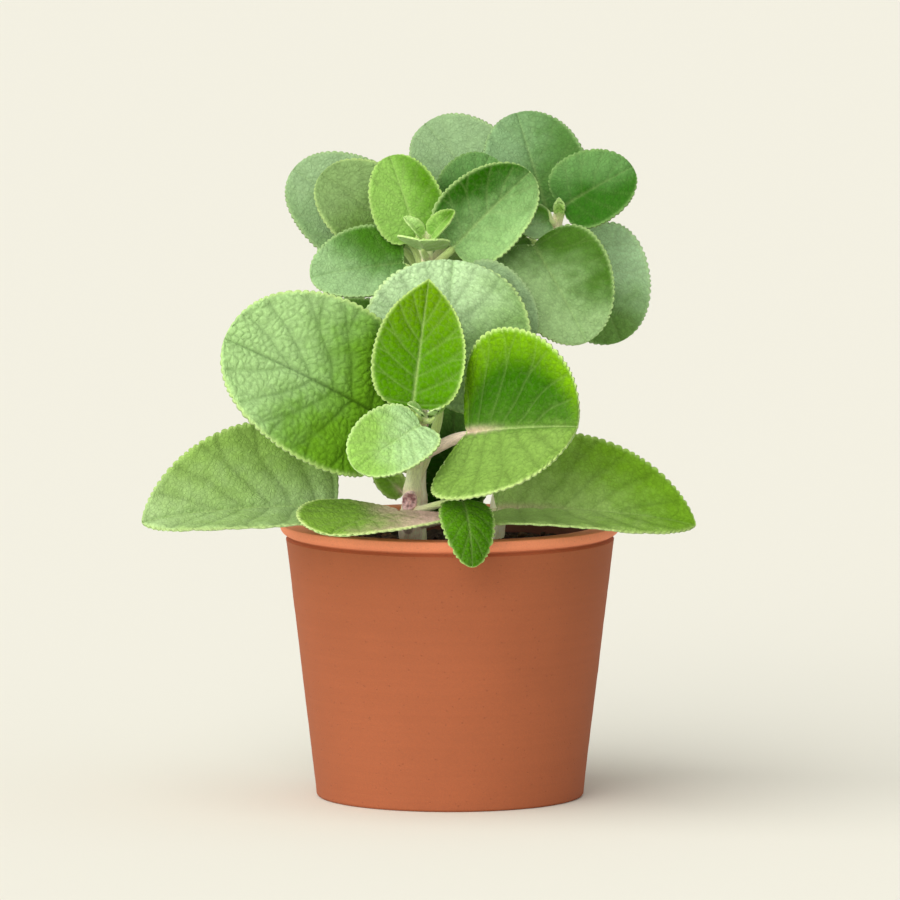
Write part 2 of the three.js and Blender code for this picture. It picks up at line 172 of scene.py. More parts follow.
LOOKS = {
    "sheen": look((100, 150, 30), (161, 198, 130), (-0.8, 0.6), 0.55, veins=0, midrib=-0.7,
                  quilt=0.95, cells=0.85, teeth=1.3, net=0.35, edge=0.6),
    "vivid": look((82, 140, 0), (98, 144, 0), (0.2, 1), 0.4, veins=0.15, midrib=0.5, quilt=0.7, net=0.4),
    "split": look((50, 104, 0), (130, 166, 76), (0.25, -1), 0.5, half=-0.75, ring=0.7, veins=0.1,
                  midrib=0.6, blush=0.9, quilt=0.7, teeth=1.3),
    "fresh": look((146, 192, 88), (176, 212, 150), (0.9, 0.1), 0.45, veins=0.12, midrib=0.2, quilt=0.6,
                  teeth=1.15),
    "dusty": look((124, 160, 92), (184, 216, 162), (-0.9, 0.5), 0.6, veins=-0.15, midrib=0.1,
                  quilt=0.8, teeth=1.3, edge=0.5),
    "broad_left": look((132, 167, 80), (162, 191, 130), (0, -1), 0.6, veins=-0.2, midrib=0.3,
                       quilt=0.9, cells=0.35, teeth=1.3, edge=0.4),
    "broad_right": look((106, 150, 32), (162, 194, 110), (-0.65, -0.75), 0.55, veins=-0.15, midrib=0.3,
                        blush=0.6, quilt=0.9, cells=0.4, teeth=1.3, edge=0.4),
    "blushed": look((116, 156, 52), (208, 174, 162), (1, 0), 0.35, veins=0.15, midrib=0.5, blush=0.9,
                    spread=4, quilt=0.6, teeth=1.3, lit=0.9),
    "olive": look((118, 164, 48), (162, 198, 98), (1, 0), 0.4, veins=0.15, midrib=0.5, blush=0.9,
                  quilt=0.6, teeth=1.3),
    "droop": look((60, 114, 0), (84, 140, 14), (-0.5, 1), 0.4, veins=0.1, midrib=0.25, quilt=0.6,
                  teeth=1.35, ragged=2.2, net=0.6),
    "bright": look((80, 132, 16), (138, 184, 86), (-0.8, -0.4), 0.6, veins=0.1, midrib=0.25, quilt=0.5),
    "half": look((38, 92, 0), (146, 188, 118), (0.5, -0.8), 0.5, veins=0.1, midrib=0.25, quilt=0.5),
    "silver": look((68, 120, 26), (146, 182, 126), (-0.45, -0.9), 0.65, midrib=0.1),
    "grey": look((90, 124, 50), (124, 154, 94), (-0.5, 0.8), 0.5, midrib=0.1, quilt=0.5),
    "mist": look((108, 143, 86), (140, 170, 123), (0.2, 0.9), 0.6, midrib=0.1, quilt=0.35),
    "cool": look((78, 120, 54), (130, 166, 116), (-0.9, 0.2), 0.45, quilt=0.35),
    "shady": look((50, 104, 22), (104, 150, 82), (-0.3, 0.9), 0.4, quilt=0.35),
    # Painted deep shade: nearly black greens for a leaf deep inside the plant.
    "inner": look((32, 74, 6), (100, 146, 70), (0.1, 1), 0.35),
    "low": look((70, 112, 32), (156, 190, 128), (-0.4, -0.9), 0.6),
    "far": look((108, 150, 74), (168, 204, 156), (0.2, 1), 0.6, quilt=0.35),
    "shoot": look((156, 206, 96), (194, 234, 146), (-0.3, 0.9), 0.5, veins=0.1, midrib=0.2, quilt=0.5,
                  teeth=0.8),
}

# Each leaf: form, height on the stem where its stalk starts, base and tip of the blade, the way its
# upper side looks, its width, its look, and how fine its mesh is. The leaves of a shoot are one piece,
# or the pieces that it names, by their places in the list.
SHOOTS = {
    "front_shoot": dict(
        slot="fresh_leaf", radii=(5, 2.4),
        route=[(-16, -22, STEM_FOOT), (-17, -26, 118), (-15.5, -33, 142), (-14, -42, 160), (-12.5, -48, 170)],
        pieces={"front_leaves": [0, 1, 2, 3, 9, 10, 11], "front_low_leaves": [4, 5, 6, 7, 8]},
        leaves=[
            ("round", 150, (-27, -43, 167), (-96, -64, 204), (-0.1, -0.85, 0.5), 77, "sheen", 1.4),
            ("heart", 150, (7, -50, 162.5), (54, -88, 169), (-0.42, -0.74, 0.52), 88, "split", 1.3),
            ("pointed", 164, (-16, -51, 174), (-9, -31, 226.5), (0.05, -0.95, 0.25), 41, "vivid", 1.4),
            ("round", 160, (-12.5, -58, 166.5), (-40, -78.5, 149.5), (-0.05, -0.8, 0.6), 35, "fresh", 1.7),
            ("round", 135, (-4, -30, 172), (1.5, -9, 232), (0, -0.9, 0.4), 75, "dusty", 0.9),
            ("spreading", 120, (-49, -32, 128), (-131.5, -54, 124.5), (0, -0.6, 0.8), 78, "broad_left", 0.95),
            ("spreading", 120, (20, -34, 128), (105, -48, 122.5), (0, -0.6, 0.8), 68, "broad_right", 0.95),
            ("level", 116, (-21, -44, 128), (-51, -97, 124), (0.02, -0.08, 1), 66, "blushed", 0.9),
            ("drooping", 126, (5, -67, 135), (9.5, -92, 109.5), (0.1, -0.7, 0.7), 24, "droop", 2.2),
            ("bud", 167, (-12, -54, 170), (-18, -61, 176), (-0.2, -0.6, 0.7), 7, "fresh", 1.5),
            ("bud", 167, (-8, -54, 169), (-4, -62, 174), (0.2, -0.6, 0.7), 6, "fresh", 1.5),
            ("bud", 163, (-7.5, -43, 170), (-0.5, -38, 187), (0.3, -0.9, 0.1), 9, "shoot", 1.5),
        ],
    ),
    "left_shoot": dict(
        slot="pale_leaf", radii=(4.4, 1.8),
        route=[(-13, 14, STEM_FOOT), (-14, 14, 122), (-12, 14, 180), (-10, 14, 222), (-9.5, 12, 242)],
        leaves=[
            ("young", 230, (-14, 17, 239.5), (-26, 32, 273.5), (0, -0.95, 0.35), 33, "bright", 1.2),
            ("young", 225, (1.5, 10.5, 236), (34.5, 22, 267.5), (0.05, -0.85, 0.4), 40, "half", 1.1),
            ("young", 220, (-20, 14, 229), (-60, 6, 223), (-0.1, -0.75, 0.6), 39, "silver", 1.1),
            ("young", 212, (-18, 28, 238), (-55.5, 42, 265), (-0.2, -0.85, 0.45), 42, "grey", 1),
            ("young", 206, (-21, 41, 233.5), (-68, 60, 265), (-0.3, -0.8, 0.45), 49, "mist", 0.9),
            ("young", 200, (0, -1, 217.5), (35, -13, 196.5), (0.1, -0.9, 0.42), 45, "mist", 1),
            ("young", 226, (4, 32, 246), (17, 48, 272), (0.1, -0.9, 0.35), 33, "shady", 1),
            ("small", 230, (-11, 4, 235.5), (-13, -11, 241), (0, -0.5, 0.9), 24, "shoot", 1.5),
            ("young", 204, (-8, 34, 210), (-20, 62, 212), (0, -0.2, 1), 40, "grey", 0.8),
            ("young", 184, (-26, 22, 192), (-66, 34, 199), (0, -0.6, 0.8), 42, "low", 0.8),
            ("young", 172, (2, 14, 177), (38, 10, 178), (0, -0.3, 0.95), 34, "low", 0.8),
            ("young", 146, (-24, 20, 150), (-62, 32, 154), (0, -0.3, 0.95), 34, "olive", 0.8),
            ("bud", 126, (-20, 13, 129), (-33, 14, 141.5), (-0.3, -0.8, 0.3), 14, "olive", 1.2),
            ("bud", 238, (-12, 9, 241), (-20, 6, 249.5), (0.2, -0.7, 0.6), 8, "shoot", 1.5),
            ("bud", 239, (-8, 5, 241.5), (2, -1, 253), (-0.3, -0.8, 0.4), 11, "bright", 1.5),
        ],
    ),
    "right_shoot": dict(
        slot="pale_leaf", radii=(4.4, 1.8),
        route=[(18, 18, STEM_FOOT), (21, 21, 122), (32, 29, 185), (43, 36, 230), (47, 37, 248)],
        leaves=[
            ("young", 242, (48.5, 33, 251.5), (79, 40, 268), (0.1, -0.9, 0.45), 35.5, "shady", 1.1),
            ("young", 240, (42, 50, 247.5), (29, 72, 288.5), (0, -0.9, 0.45), 47, "cool", 1),
            ("young", 225, (21, 61, 248.5), (-11, 84, 283), (-0.1, -0.9, 0.45), 46, "mist", 0.9),
            ("broad", 230, (36, 22, 236), (58.5, 3, 195.5), (0.1, -0.85, 0.5), 52, "low", 1),
            ("young", 226, (54, 52, 236), (74, 47, 191.5), (0, -0.9, 0.4), 50, "far", 0.9),
            ("young", 232, (33, 35.5, 238), (7, 36, 223), (-0.1, -0.6, 0.8), 32, "low", 0.9),
            ("young", 210, (36, 60, 216), (46, 98, 210), (0, 0, 1), 42, "grey", 0.8),
            ("young", 146, (34, 20, 148), (64, 12, 139), (0, -0.3, 0.95), 34, "olive", 0.8),
            ("small", 244, (43, 31, 245.5), (30, 28, 242.5), (0.1, -0.9, 0.4), 17, "silver", 1.4),
            ("bud", 246, (47, 32, 249), (47, 26, 256), (0, -0.8, 0.4), 6, "shoot", 1.5),
        ],
    ),
    "back_shoot": dict(
        slot="fresh_leaf", radii=(4.4, 2),
        route=[(5, 36, STEM_FOOT), (5, 41, 118), (2, 52, 150), (-2, 66, 176), (-4, 74, 190)],
        leaves=[
            ("broad", 166, (-16, 74, 170), (-78, 92, 176), (-0.1, 0.85, 0.6), 60, "sheen", 0.9),
            ("broad", 166, (8, 74, 168), (44, 92, 170), (0.1, 0.85, 0.6), 44, "bright", 0.9),
            ("young", 176, (-4, 71, 203), (-6, 58, 243), (0, 0.95, 0.3), 44, "vivid", 1),
            ("young", 176, (4, 88, 172), (12, 116, 144), (0, 0.8, 0.6), 42, "half", 0.9),
            ("small", 184, (-11, 82, 190), (-34, 94, 198), (-0.1, 0.85, 0.5), 24, "fresh", 1.2),
            ("small", 184, (3, 82, 190), (24, 94, 194), (0.1, 0.85, 0.5), 22, "fresh", 1.2),
            ("broad", 130, (-34, 58, 140), (-90, 84, 136), (0, 0.3, 0.95), 56, "broad_left", 0.85),
            ("broad", 130, (28, 58, 134), (84, 82, 130), (0, 0.3, 0.95), 52, "broad_right", 0.85),
            ("bud", 188, (-6, 79, 195), (-10, 84, 203), (0, 0.7, 0.6), 8, "fresh", 1.3),
            ("bud", 188, (-1, 79, 195), (3, 84, 202), (0, 0.7, 0.6), 7, "fresh", 1.3),
            # A small low leaf inside the plant, coloured in painted deep shade.
            ("small", 108, (1, 36, 120), (2, 27, 171), (0, -0.95, 0.2), 32, "inner", 0.9),
        ],
    ),
}

# Old leaf scars on the stems: height, the way each looks in degrees from the front towards the right,
# width and height of the oval
SCARS = (
    ("front_shoot", 131, -18, 7, 9.6),
    ("left_shoot", 160, 25, 4.6, 5.4),
    ("right_shoot", 166, -30, 4.6, 5.4),
    ("back_shoot", 147, 165, 4.6, 5.4),
)


# Numbers, curves and noise


def linear(colour):
    """Colour as the screen shows it, from 0 to 255, as the light that a material takes."""
    shown = np.asarray(colour, float) / 255
    return np.where(shown <= 0.04045, shown / 12.92, ((shown + 0.055) / 1.055) ** 2.4)


def ease(low, high, value):
    """0 below low, 1 above high and a smooth rise between them."""
    t = np.clip((value - low) / (high - low), 0, 1)
    return t * t * (3 - 2 * t)


def hill(value, width):
    """1 where a value is 0, and a smooth fall to nearly 0 within two widths on both sides."""
    return np.exp(-((value / width) ** 2))


def blend(one, other, share):
    """Rows of one colour mixed with another by a share for each row. A colour given as three numbers in
    round brackets is one that the screen shows."""
    one, other = (linear(colour) if isinstance(colour, tuple) else colour for colour in (one, other))
    share = np.asarray(share)[..., None]
    return one * (1 - share) + other * share


def unit(vector):
    vector = np.asarray(vector, float)
    return vector / np.linalg.norm(vector, axis=-1, keepdims=True)


def draw(seed, *cells):
    """Even random numbers from 0 to 1, always the same one for the same cell of a grid."""
    mixed = np.full(np.broadcast(*cells).shape, 0x9E3779B97F4A7C15 + 977 * seed, np.uint64)
    for cell in cells:
        mixed ^= np.asarray(cell).astype(np.int64).astype(np.uint64)
        mixed *= np.uint64(0xBF58476D1CE4E5B9)
        mixed ^= mixed >> np.uint64(29)
    mixed *= np.uint64(0x94D049BB133111EB)
    mixed ^= mixed >> np.uint64(32)
    return (mixed & np.uint64(0xFFFFFF)) / 0xFFFFFF


def noise(x, y, size, seed):
    """Smooth hills and dips from -1 to 1, about size apart."""
    x, y = x / size, y / size
    left, low = np.floor(x), np.floor(y)
    right, up = ease(0, 1, x - left), ease(0, 1, y - low)
    rows = [draw(seed, left, low + k) * (1 - right) + draw(seed, left + 1, low + k) * right for k in (0, 1)]
    return 2 * (rows[0] * (1 - up) + rows[1] * up) - 1


def pebbles(x, y, size, seed):
    """Distance to the seam between uneven pebbles about size across, and a number for each pebble."""
    x, y = x / size, y / size
    left, low = np.floor(x), np.floor(y)
    nearest, second = np.full(x.shape, 9.0), np.full(x.shape, 9.0)
    number = np.zeros(x.shape)
    for i, j in itertools.product((-1, 0, 1), repeat=2):
        cell = (left + i, low + j)
        away = np.hypot(cell[0] + draw(seed, *cell) - x, cell[1] + draw(seed + 1, *cell) - y)
        closer = away < nearest
        second = np.where(closer, nearest, np.minimum(second, away))
        number = np.where(closer, draw(seed + 2, *cell), number)
        nearest = np.where(closer, away, nearest)
    return (second - nearest) * size, number


def catmull_rom(points, count):
    """Places along an even Catmull-Rom curve through the points."""
    points = np.asarray(points, float)
    ends = np.array([2 * points[0] - points[1], *points, 2 * points[-1] - points[-2]])
    at = np.linspace(0, len(points) - 1, count)
    k = np.minimum(at.astype(int), len(points) - 2)
    t = (at - k)[:, None]
    a, b, c, d = (ends[k + i] for i in range(4))
    return 0.5 * (2 * b + (c - a) * t + (2 * a - 5 * b + 4 * c - d) * t**2 + (3 * b - a - 3 * c + d) * t**3)


def bezier(points, t):
    """Places on a Bezier curve of three or four points."""
    t = np.asarray(t, float)[:, None]
    points = [np.asarray(p, float) + 0 * t for p in points]
    while len(points) > 1:
        points = [p * (1 - t) + q * t for p, q in zip(points, points[1:])]
    return points[0]


def run_along(line):
    """Way run along a line up to each of its points."""
    return np.concatenate([[0], np.cumsum(np.linalg.norm(np.diff(line, axis=0), axis=1))])


def nearest_line(x, y, lines):
    """Distance from each place to the nearest of the lines, each a start and an end."""
    found = np.full(x.shape, 1e3)
    for (ax, ay), (bx, by) in lines:
        dx, dy = bx - ax, by - ay
        t = np.clip(((x - ax) * dx + (y - ay) * dy) / max(dx * dx + dy * dy, 1e-9), 0, 1)
        found = np.minimum(found, np.hypot(x - ax - t * dx, y - ay - t * dy))
    return found


# Meshes

# Triangles with a painted colour at each vertex, two flat maps at each corner, and how clear the
# material's net of veins is on them
Part = namedtuple("Part", "places faces colours atlas flat net", defaults=[1.0])


def triangles(*corners):
    """Rows of triangles from their three corners, each one vertex or a list of them."""
    return np.stack(np.broadcast_arrays(*corners), -1)


def grid_faces(columns, rows, closed=False):
    """Triangles of a grid of columns times rows vertices, numbered row by row in each column."""
    i, j = np.meshgrid(np.arange(columns - (not closed)), np.arange(rows - 1), indexing="ij")
    near, far = i * rows + j, (i + 1) % columns * rows + j
    quads = np.stack([near, far, far + 1, near + 1], -1).reshape(-1, 4)
    return np.concatenate([quads[:, [0, 1, 2]], quads[:, [0, 2, 3]]])


def sheet(first, columns, rows):
    """Triangles of a grid that runs from one end vertex to another, and the vertices round its margin.
    The two end vertices are numbered before the grid."""
    start = first + 2
    k = np.arange(rows - 1)
    last = start + (columns - 1) * rows + k
    faces = [
        triangles(first, start + k, start + k + 1),
        grid_faces(columns, rows) + start,
        triangles(last, first + 1, last + 1),
    ]
    i = np.arange(columns)
    margin = [[first], start + i * rows + rows - 1, [first + 1], start + i[::-1] * rows]
    return np.concatenate(faces), np.concatenate(margin)


def link(name, data):
    """New object of a mesh, a lamp or a camera."""
    made = bpy.data.objects.new(name, data)
    bpy.context.scene.collection.objects.link(made)
    return made


def new_object(name, places, faces):
    mesh = bpy.data.meshes.new(name)
    mesh.from_pydata(np.asarray(places) * MM, [], faces)
    return link(name, mesh)


def dress(piece, colours, net, material):
    """Smooths a piece and gives it its painted colours and its material."""
    mesh = piece.data
    mesh.shade_smooth()
    rows = np.column_stack([colours, net]).astype(np.float32)
    mesh.color_attributes.new("Paint", "FLOAT_COLOR", "POINT").data.foreach_set("color", rows.ravel())
    mesh.materials.clear()
    mesh.materials.append(material)


def attach(piece, slot, *nodes):
    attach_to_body(piece, "root")
    if nodes:
        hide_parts(*nodes)


def joined(name, parts, material):
    """One piece of several parts."""
    starts = np.cumsum([0] + [len(p.places) for p in parts])
    faces = np.concatenate([p.faces + start for p, start in zip(parts, starts)])
    piece = new_object(name, np.concatenate([p.places for p in parts]), faces)
    net = np.concatenate([np.full(len(p.places), p.net) for p in parts])
    dress(piece, np.concatenate([p.colours for p in parts]), net, material)
    for title, kind in (("OFBake", "atlas"), ("Flat", "flat")):
        corners = np.concatenate([getattr(p, kind) for p in parts])
        piece.data.uv_layers.new(name=title).uv.foreach_set("vector", corners.astype(np.float32).ravel())
    return piece


def painted(name, places, faces, colours, material):
    """One piece with a colour for each of its vertices."""
    piece = new_object(name, places, faces)
    dress(piece, colours, np.ones(len(places)), material)
    return piece


def shelves(sizes):
    """Corners for boxes of these sizes side by side on shelves, and the width of the square they fill."""
    margin = 1.5
    sizes = np.asarray(sizes, float) + margin
    side = math.sqrt((sizes[:, 0] * sizes[:, 1]).sum()) * 1.04
    while True:
        corners = np.zeros_like(sizes)
        x = y = shelf = 0.0
        for k in np.argsort(-sizes[:, 1]):
            if x + sizes[k, 0] > side:
                x, y, shelf = 0.0, y + shelf, 0.0
            corners[k] = x + margin / 2, y + margin / 2
            x, shelf = x + sizes[k, 0], max(shelf, sizes[k, 1])
        if y + shelf <= side and sizes[:, 0].max() <= side:
            return corners, side
        side *= 1.02


# Leaves


class Leaf:
    """A blade: a bent sheet with a toothed margin, sunken veins and puffed fields between them."""

    def __init__(self, row, number):
        form, self.at, base, tip, face, width, look_name, self.fineness = row
        self.form, self.look = PLAIN_FORM | FORMS[form], LOOKS[look_name]
        self.seed = 100 + 7 * number
        self.base, self.tip = np.array(base, float), np.array(tip, float)
        chord = self.tip - self.base
        along = unit(chord)
        up = unit(np.array(face) - along * np.dot(along, face))
        self.side = np.cross(up, along)
        self.bend, self.fold, self.cup = (math.radians(self.form[k]) for k in ("bend", "fold", "cup"))
        half_turn = self.bend / 2
        self.start = math.cos(half_turn) * along + math.sin(half_turn) * up
        self.up = math.cos(half_turn) * up - math.sin(half_turn) * along
        self.length = np.linalg.norm(chord) * half_turn / math.sin(half_turn)
        self.half = width / 2
        # Small leaves have finer veins and a thinner blade.
        self.size = min(1, 0.45 + self.half / 55)
        self.stout = min(1, 0.55 + self.half / 30)
        self.bright = self.look["lit"] or min(0.9, 1.5 * self.look["quilt"] - 0.3)
        self.lay_out()

    def noise(self, x, y, size, number):
        return noise(x, y, size, self.seed + number)

    def frame_at(self, x, y):
        """The sheet's place and its own upward direction, x along the midrib and y across it."""
        turn = (self.bend * x / self.length)[..., None]
        radius, curl = self.length / self.bend, self.half / self.cup
        tilt = self.fold + self.cup * np.abs(y) / self.half
        across = np.sign(y) * curl * (np.sin(tilt) - math.sin(self.fold))
        rise = curl * (math.cos(self.fold) - np.cos(tilt))
        upward = self.start * np.sin(turn) + self.up * np.cos(turn)
        place = self.base + self.start * radius * np.sin(turn) - self.up * radius * (1 - np.cos(turn))
        place = place + self.side * across[..., None] + upward * rise[..., None]
        lean = np.tanh(y / 2) * np.sin(tilt)
        return place, unit(upward * np.cos(tilt)[..., None] - self.side * lean[..., None])

    def outline(self, angle):
        """Margin without its teeth at an angle from 0 at the base to pi at the tip, for y above 0."""
        lobe, egg, sharp = (self.form[k] for k in ("lobe", "egg", "sharp"))
        near_tip = (1 - np.cos(angle)) / 2
        x = self.length * near_tip - lobe * self.length * np.sin(angle) * (1 + np.cos(angle)) / 2
        roundness = np.maximum(np.sin(angle), 0) ** (1 + sharp * near_tip**2)
        return x, self.half * roundness * (1 + egg * np.cos(angle))

    def margin(self, count):
        """Angles along the margin, its places there and the way run along it."""
        angle = np.linspace(0, math.pi, count)
        x, y = self.outline(angle)
        return angle, x, y, np.concatenate([[0], np.cumsum(np.hypot(np.diff(x), np.diff(y)))])

    def lay_out(self):
        """Columns evenly spaced round the margin, with the teeth, and rows from midrib to margin."""
        fine, _, _, run = self.margin(721)
        self.margin_length = run[-1]
        coarse = self.look["teeth"]
        pitch, spacing = TOOTH_PITCH * coarse, ROW_SPACING / self.fineness
        teeth = max(6, round(run[-1] / pitch))
        steps = 2 * max(2, round(pitch / spacing / 2))
        column = np.arange(teeth * steps + 1)
        share = column / (teeth * steps)
        share = share + 0.35 / teeth * np.sin(TURN * share) * np.sin(5 * TURN * share + self.seed)
        self.angle = np.interp(share * run[-1], run, fine)
        self.angle[0], self.angle[-1] = 0, math.pi
        phase = column / steps
        tooth = np.abs(np.sin(math.pi * phase)) ** 0.6
        size = 0.75 + 0.5 * draw(self.seed, np.floor(phase))
        depth = TOOTH_DEPTH * coarse * min(1, 0.35 + self.half / 40) * size * self.look["ragged"]
        self.drawn_in = depth * (1 - tooth)
        rows = 2 * max(3, round(self.half / spacing / 2))
        t = np.arange(rows + 1) / rows
        self.reach = t - 0.35 * np.sin(TURN * t) / TURN

    def flat_places(self):
        """Flat coordinates and margin distances of the grid, from one margin over the midrib to the other."""
        angle = self.angle[1:-1]
        x, y = self.outline(angle)
        foot = self.length * (1 - np.cos(angle)) / 2
        onward_x, onward_y = np.gradient(x), np.gradient(y)
        speed = np.hypot(onward_x, onward_y)
        pull = self.drawn_in[1:-1, None] * ease(0.84, 1, self.reach) ** 1.5
        half_x = foot[:, None] + (x - foot)[:, None] * self.reach + (onward_y / speed)[:, None] * pull
        half_y = y[:, None] * self.reach - (onward_x / speed)[:, None] * pull
        half_y = np.maximum(half_y, 0.02 * self.reach)
        away = np.hypot(x - foot, y)[:, None] * (1 - self.reach)
        halves = ((half_x, 1), (half_y, -1), (away, 1))
        return [np.concatenate([sign * half[:, :0:-1], half], 1) for half, sign in halves]

    def veins(self):
        """Lines of the side veins and of their forks, for each half."""
        count, random = self.form["veins"], np.random.default_rng(self.seed)
        lines = {1: [], -1: []}
        _, x, y, run = self.margin(181)
        run = run / self.margin_length
        t = np.linspace(0, 1, 9)

        def on_margin(share):
            return np.array([np.interp(share, run, x), np.interp(share, run, y)])

        for hand in (1, -1):
            for k in range(count):
                share = k / (count - 1)
                start = self.length * (0.01 + 0.6 * share**1.2 + random.uniform(-0.015, 0.015))
                end = 0.22 + 0.68 * share**0.8 + random.uniform(-0.015, 0.015)
                x_end, y_end = 0.95 * on_margin(end)
                bent = (start + 0.45 * (x_end - start), 0.58 * y_end)
                curve = bezier([(start, 0), bent, (x_end, y_end)], t)
                lines[hand] += zip(curve, curve[1:])
                if k < count - 2:
                    fork = on_margin(end - 0.45 / count)
                    branch = bezier([curve[5], curve[7] * 0.5 + fork * 0.5, fork], t[::2])
                    lines[hand] += zip(branch, branch[1:])
        return lines

    def relief(self, x, y, away):
        """Lift of the upper and of the lower face, and how near each place is to a vein."""
        size, lines = self.size, self.veins()
        off_side = np.zeros(x.shape)
        loose = size * ease(0, 6, np.abs(y))
        sway = [0.9 * loose * self.noise(x, y, 11, k) for k in (8, 10)]
        crinkle = [loose * (self.noise(x, y, 6, k) + 0.6 * self.noise(x, y, 2.5, k + 1)) for k in (20, 22)]
        for hand in (1, -1):
            here = y * hand >= 0
            off_side[here] = nearest_line((x + sway[0])[here], hand * (y + sway[1])[here], lines[hand])
        seam, _ = pebbles(x + crinkle[0], y + crinkle[1], CELL_SIZE * size, self.seed + 12)
        off_main = np.minimum(off_side, np.abs(y) * 1.1)
        puff, cells = size * self.look["quilt"], self.look["cells"]
        inner = ease(0, 3.5 * size, away)
        field = 1 - hill(off_main, 3.4 * size)
        cell = 1 - hill(np.minimum(seam, off_main), 0.8 * size)
        big, small = PILLOW * puff * field, SMALL_PILLOW * puff * cells * cell
        fade = np.clip(1 - x / self.length, 0, 1)
        side_vein = hill(off_side, 0.7)
        groove = VEIN_DEPTH * size * (0.5 + 0.5 * fade) * np.exp(-np.abs(y) / (0.7 + 0.9 * fade))
        groove = groove + 0.35 * puff * side_vein * inner
        wave = WAVE * size * np.clip(1 - away / self.half, 0, 1) ** 2
        wave = wave * self.noise(x, y, 0.45 * self.half + 4, 3)
        rough = 0.1 * size * self.noise(x, y, 1.7, 4)
        quilt = (big + small) * (0.25 + 0.75 * inner) + rough * inner
        thick = MARGIN_THICKNESS + (BLADE_THICKNESS - MARGIN_THICKNESS) * ease(0, 0.6 * self.half, away)
        thick = thick * self.stout
        ridge = (0.25 + 0.9 * fade) * size * hill(y, 0.6 + 0.8 * fade) + 0.35 * size * side_vein * inner
        upper = wave + thick / 2 + quilt - groove - 0.5 * big
        lower = wave - thick / 2 + 0.7 * quilt - 0.5 * big - ridge * ease(-0.5, 2, away)
        # Painted light and shade of the relief: above 0 on the puffed fields, below 0 along the sunken veins.
        tone = (0.5 * field + 0.5 * (1 - cells * (1 - cell)) - 0.6) * inner * self.look["quilt"]
        return upper, lower, dict(side=off_side, seam=seam, fade=fade, tone=tone)

    def paint(self, x, y, away, place, near):
        """Colours of the upper and of the lower face, with painted light, sheen and shade."""
        looks, size, fade = self.look, self.size, near["fade"]
        deep, pale = looks["deep"], looks["pale"]
        way = unit(looks["way"])
        middle, reach = (self.base + self.tip) / 2, max(self.length / 2, self.half)
        across = ((place - middle) @ np.array([way[0], 0, way[1]])) / reach
        shift = 0.25 * self.noise(x, y, 0.5 * self.half + 3, 5) + 0.1 * self.noise(x, y, 3, 6)
        # Lighter towards way: painted light and sheen on the side of the blade that the light falls on.
        painted_light_share = ease(-0.55, 0.55, across + shift + 2 * looks["share"] - 1)
        half = abs(looks["half"])
        # One half painted in light, the other left deep as painted shade.
        painted_lit_half = half * ease(-3, 7, np.sign(looks["half"]) * y + 12 * shift)
        colour = blend(deep, pale, painted_light_share * (1 - half) + painted_lit_half)
        ring = looks["ring"] * ease(0.5, 0.05, away / self.half) * (1 - painted_light_share)
        colour = blend(colour, (132, 186, 14), ring)
        colour = colour * (1 + 0.1 * self.noise(x, y, 1.3, 7))[..., None]
        small_vein = looks["cells"] * hill(near["seam"], 0.4) * ease(0, 3, away)
        side_vein = hill(near["side"], 0.45 * size + 0.1)
        # Painted shade in the sunken veins and small seams, and painted light on the puffed fields.
        colour = colour * (1 + 0.2 * near["tone"] - 0.08 * small_vein - 0.03 * side_vein)[..., None]
        midrib = hill(y, 0.3 + 0.7 * fade * size) * (0.5 + 0.5 * fade)
        side_line = np.maximum(side_vein, 0.5 * small_vein) * np.where(painted_lit_half > 0.3, 2.2, 1)
        # Dark lines are painted shade in the grooves of the veins and the midrib; pale lines are the veins'
        # own colour.
        for strength, line, dark_half in (
            (looks["veins"], side_line, painted_lit_half > 0.3),
            (looks["midrib"], midrib, False),
        ):
            dark = np.broadcast_to((strength < 0) | dark_half, x.shape)[..., None]
            shown = np.where(dark, 0.42 * colour, linear((196, 222, 140)))
            colour = blend(colour, shown, abs(strength) * line)
        blush = hill(y, looks["spread"] * (1.3 * size + 0.6)) * ease(0.55, 1, fade)
        colour = blend(colour, (226, 200, 178), looks["blush"] * blush)
        edge = hill(away, MARGIN_BAND * (0.4 + 0.6 * size))
        lit = min(0.92, 0.3 + looks["quilt"]) * looks["edge"]
        colour = blend(colour, blend(pale, (216, 244, 152), self.bright), lit * edge)
        under = blend(colour, (164, 190, 132), np.full(x.shape, 0.6))
        under = blend(under, (206, 222, 178), np.maximum(0.7 * midrib, 0.4 * side_vein))
        return colour, under

    def part(self, corner, lower_corner, side):
        """Both faces and the round rim, with their places on the atlas, and where hairs may stand."""
        x, y, away = self.flat_places()
        upper, lower, near = self.relief(x, y, away)
        place, normal = self.frame_at(x, y)
        top_colour, low_colour = self.paint(x, y, away, place, near)
        columns, rows = x.shape
        # The lower face has half as many columns and rows. Each face has a vertex at either end.
        every = np.ix_(np.arange(1, columns, 2), np.arange(0, rows, 2))
        low_columns, low_rows = x[every].shape
        ends = np.array([[0, 0], [self.length, 0]])
        end_place, end_normal = self.frame_at(*ends.T)
        thin = MARGIN_THICKNESS / 2 * self.stout
        tips = ([0, -1], rows // 2)
        flat = np.concatenate([
            ends, np.stack([x, y], -1).reshape(-1, 2),
            ends, np.stack([x[every], y[every]], -1).reshape(-1, 2),
        ])
        places = np.concatenate([
            end_place + end_normal * thin, (place + normal * upper[..., None]).reshape(-1, 3),
            end_place - end_normal * thin,
            (place[every] + normal[every] * lower[every][..., None]).reshape(-1, 3),
        ])
        colours = [
            top_colour[tips], top_colour.reshape(-1, 3),
            low_colour[tips], low_colour[every].reshape(-1, 3),
        ]
        top_faces, top_edge = sheet(0, columns, rows)
        low_faces, low_edge = sheet(2 + x.size, low_columns, low_rows)

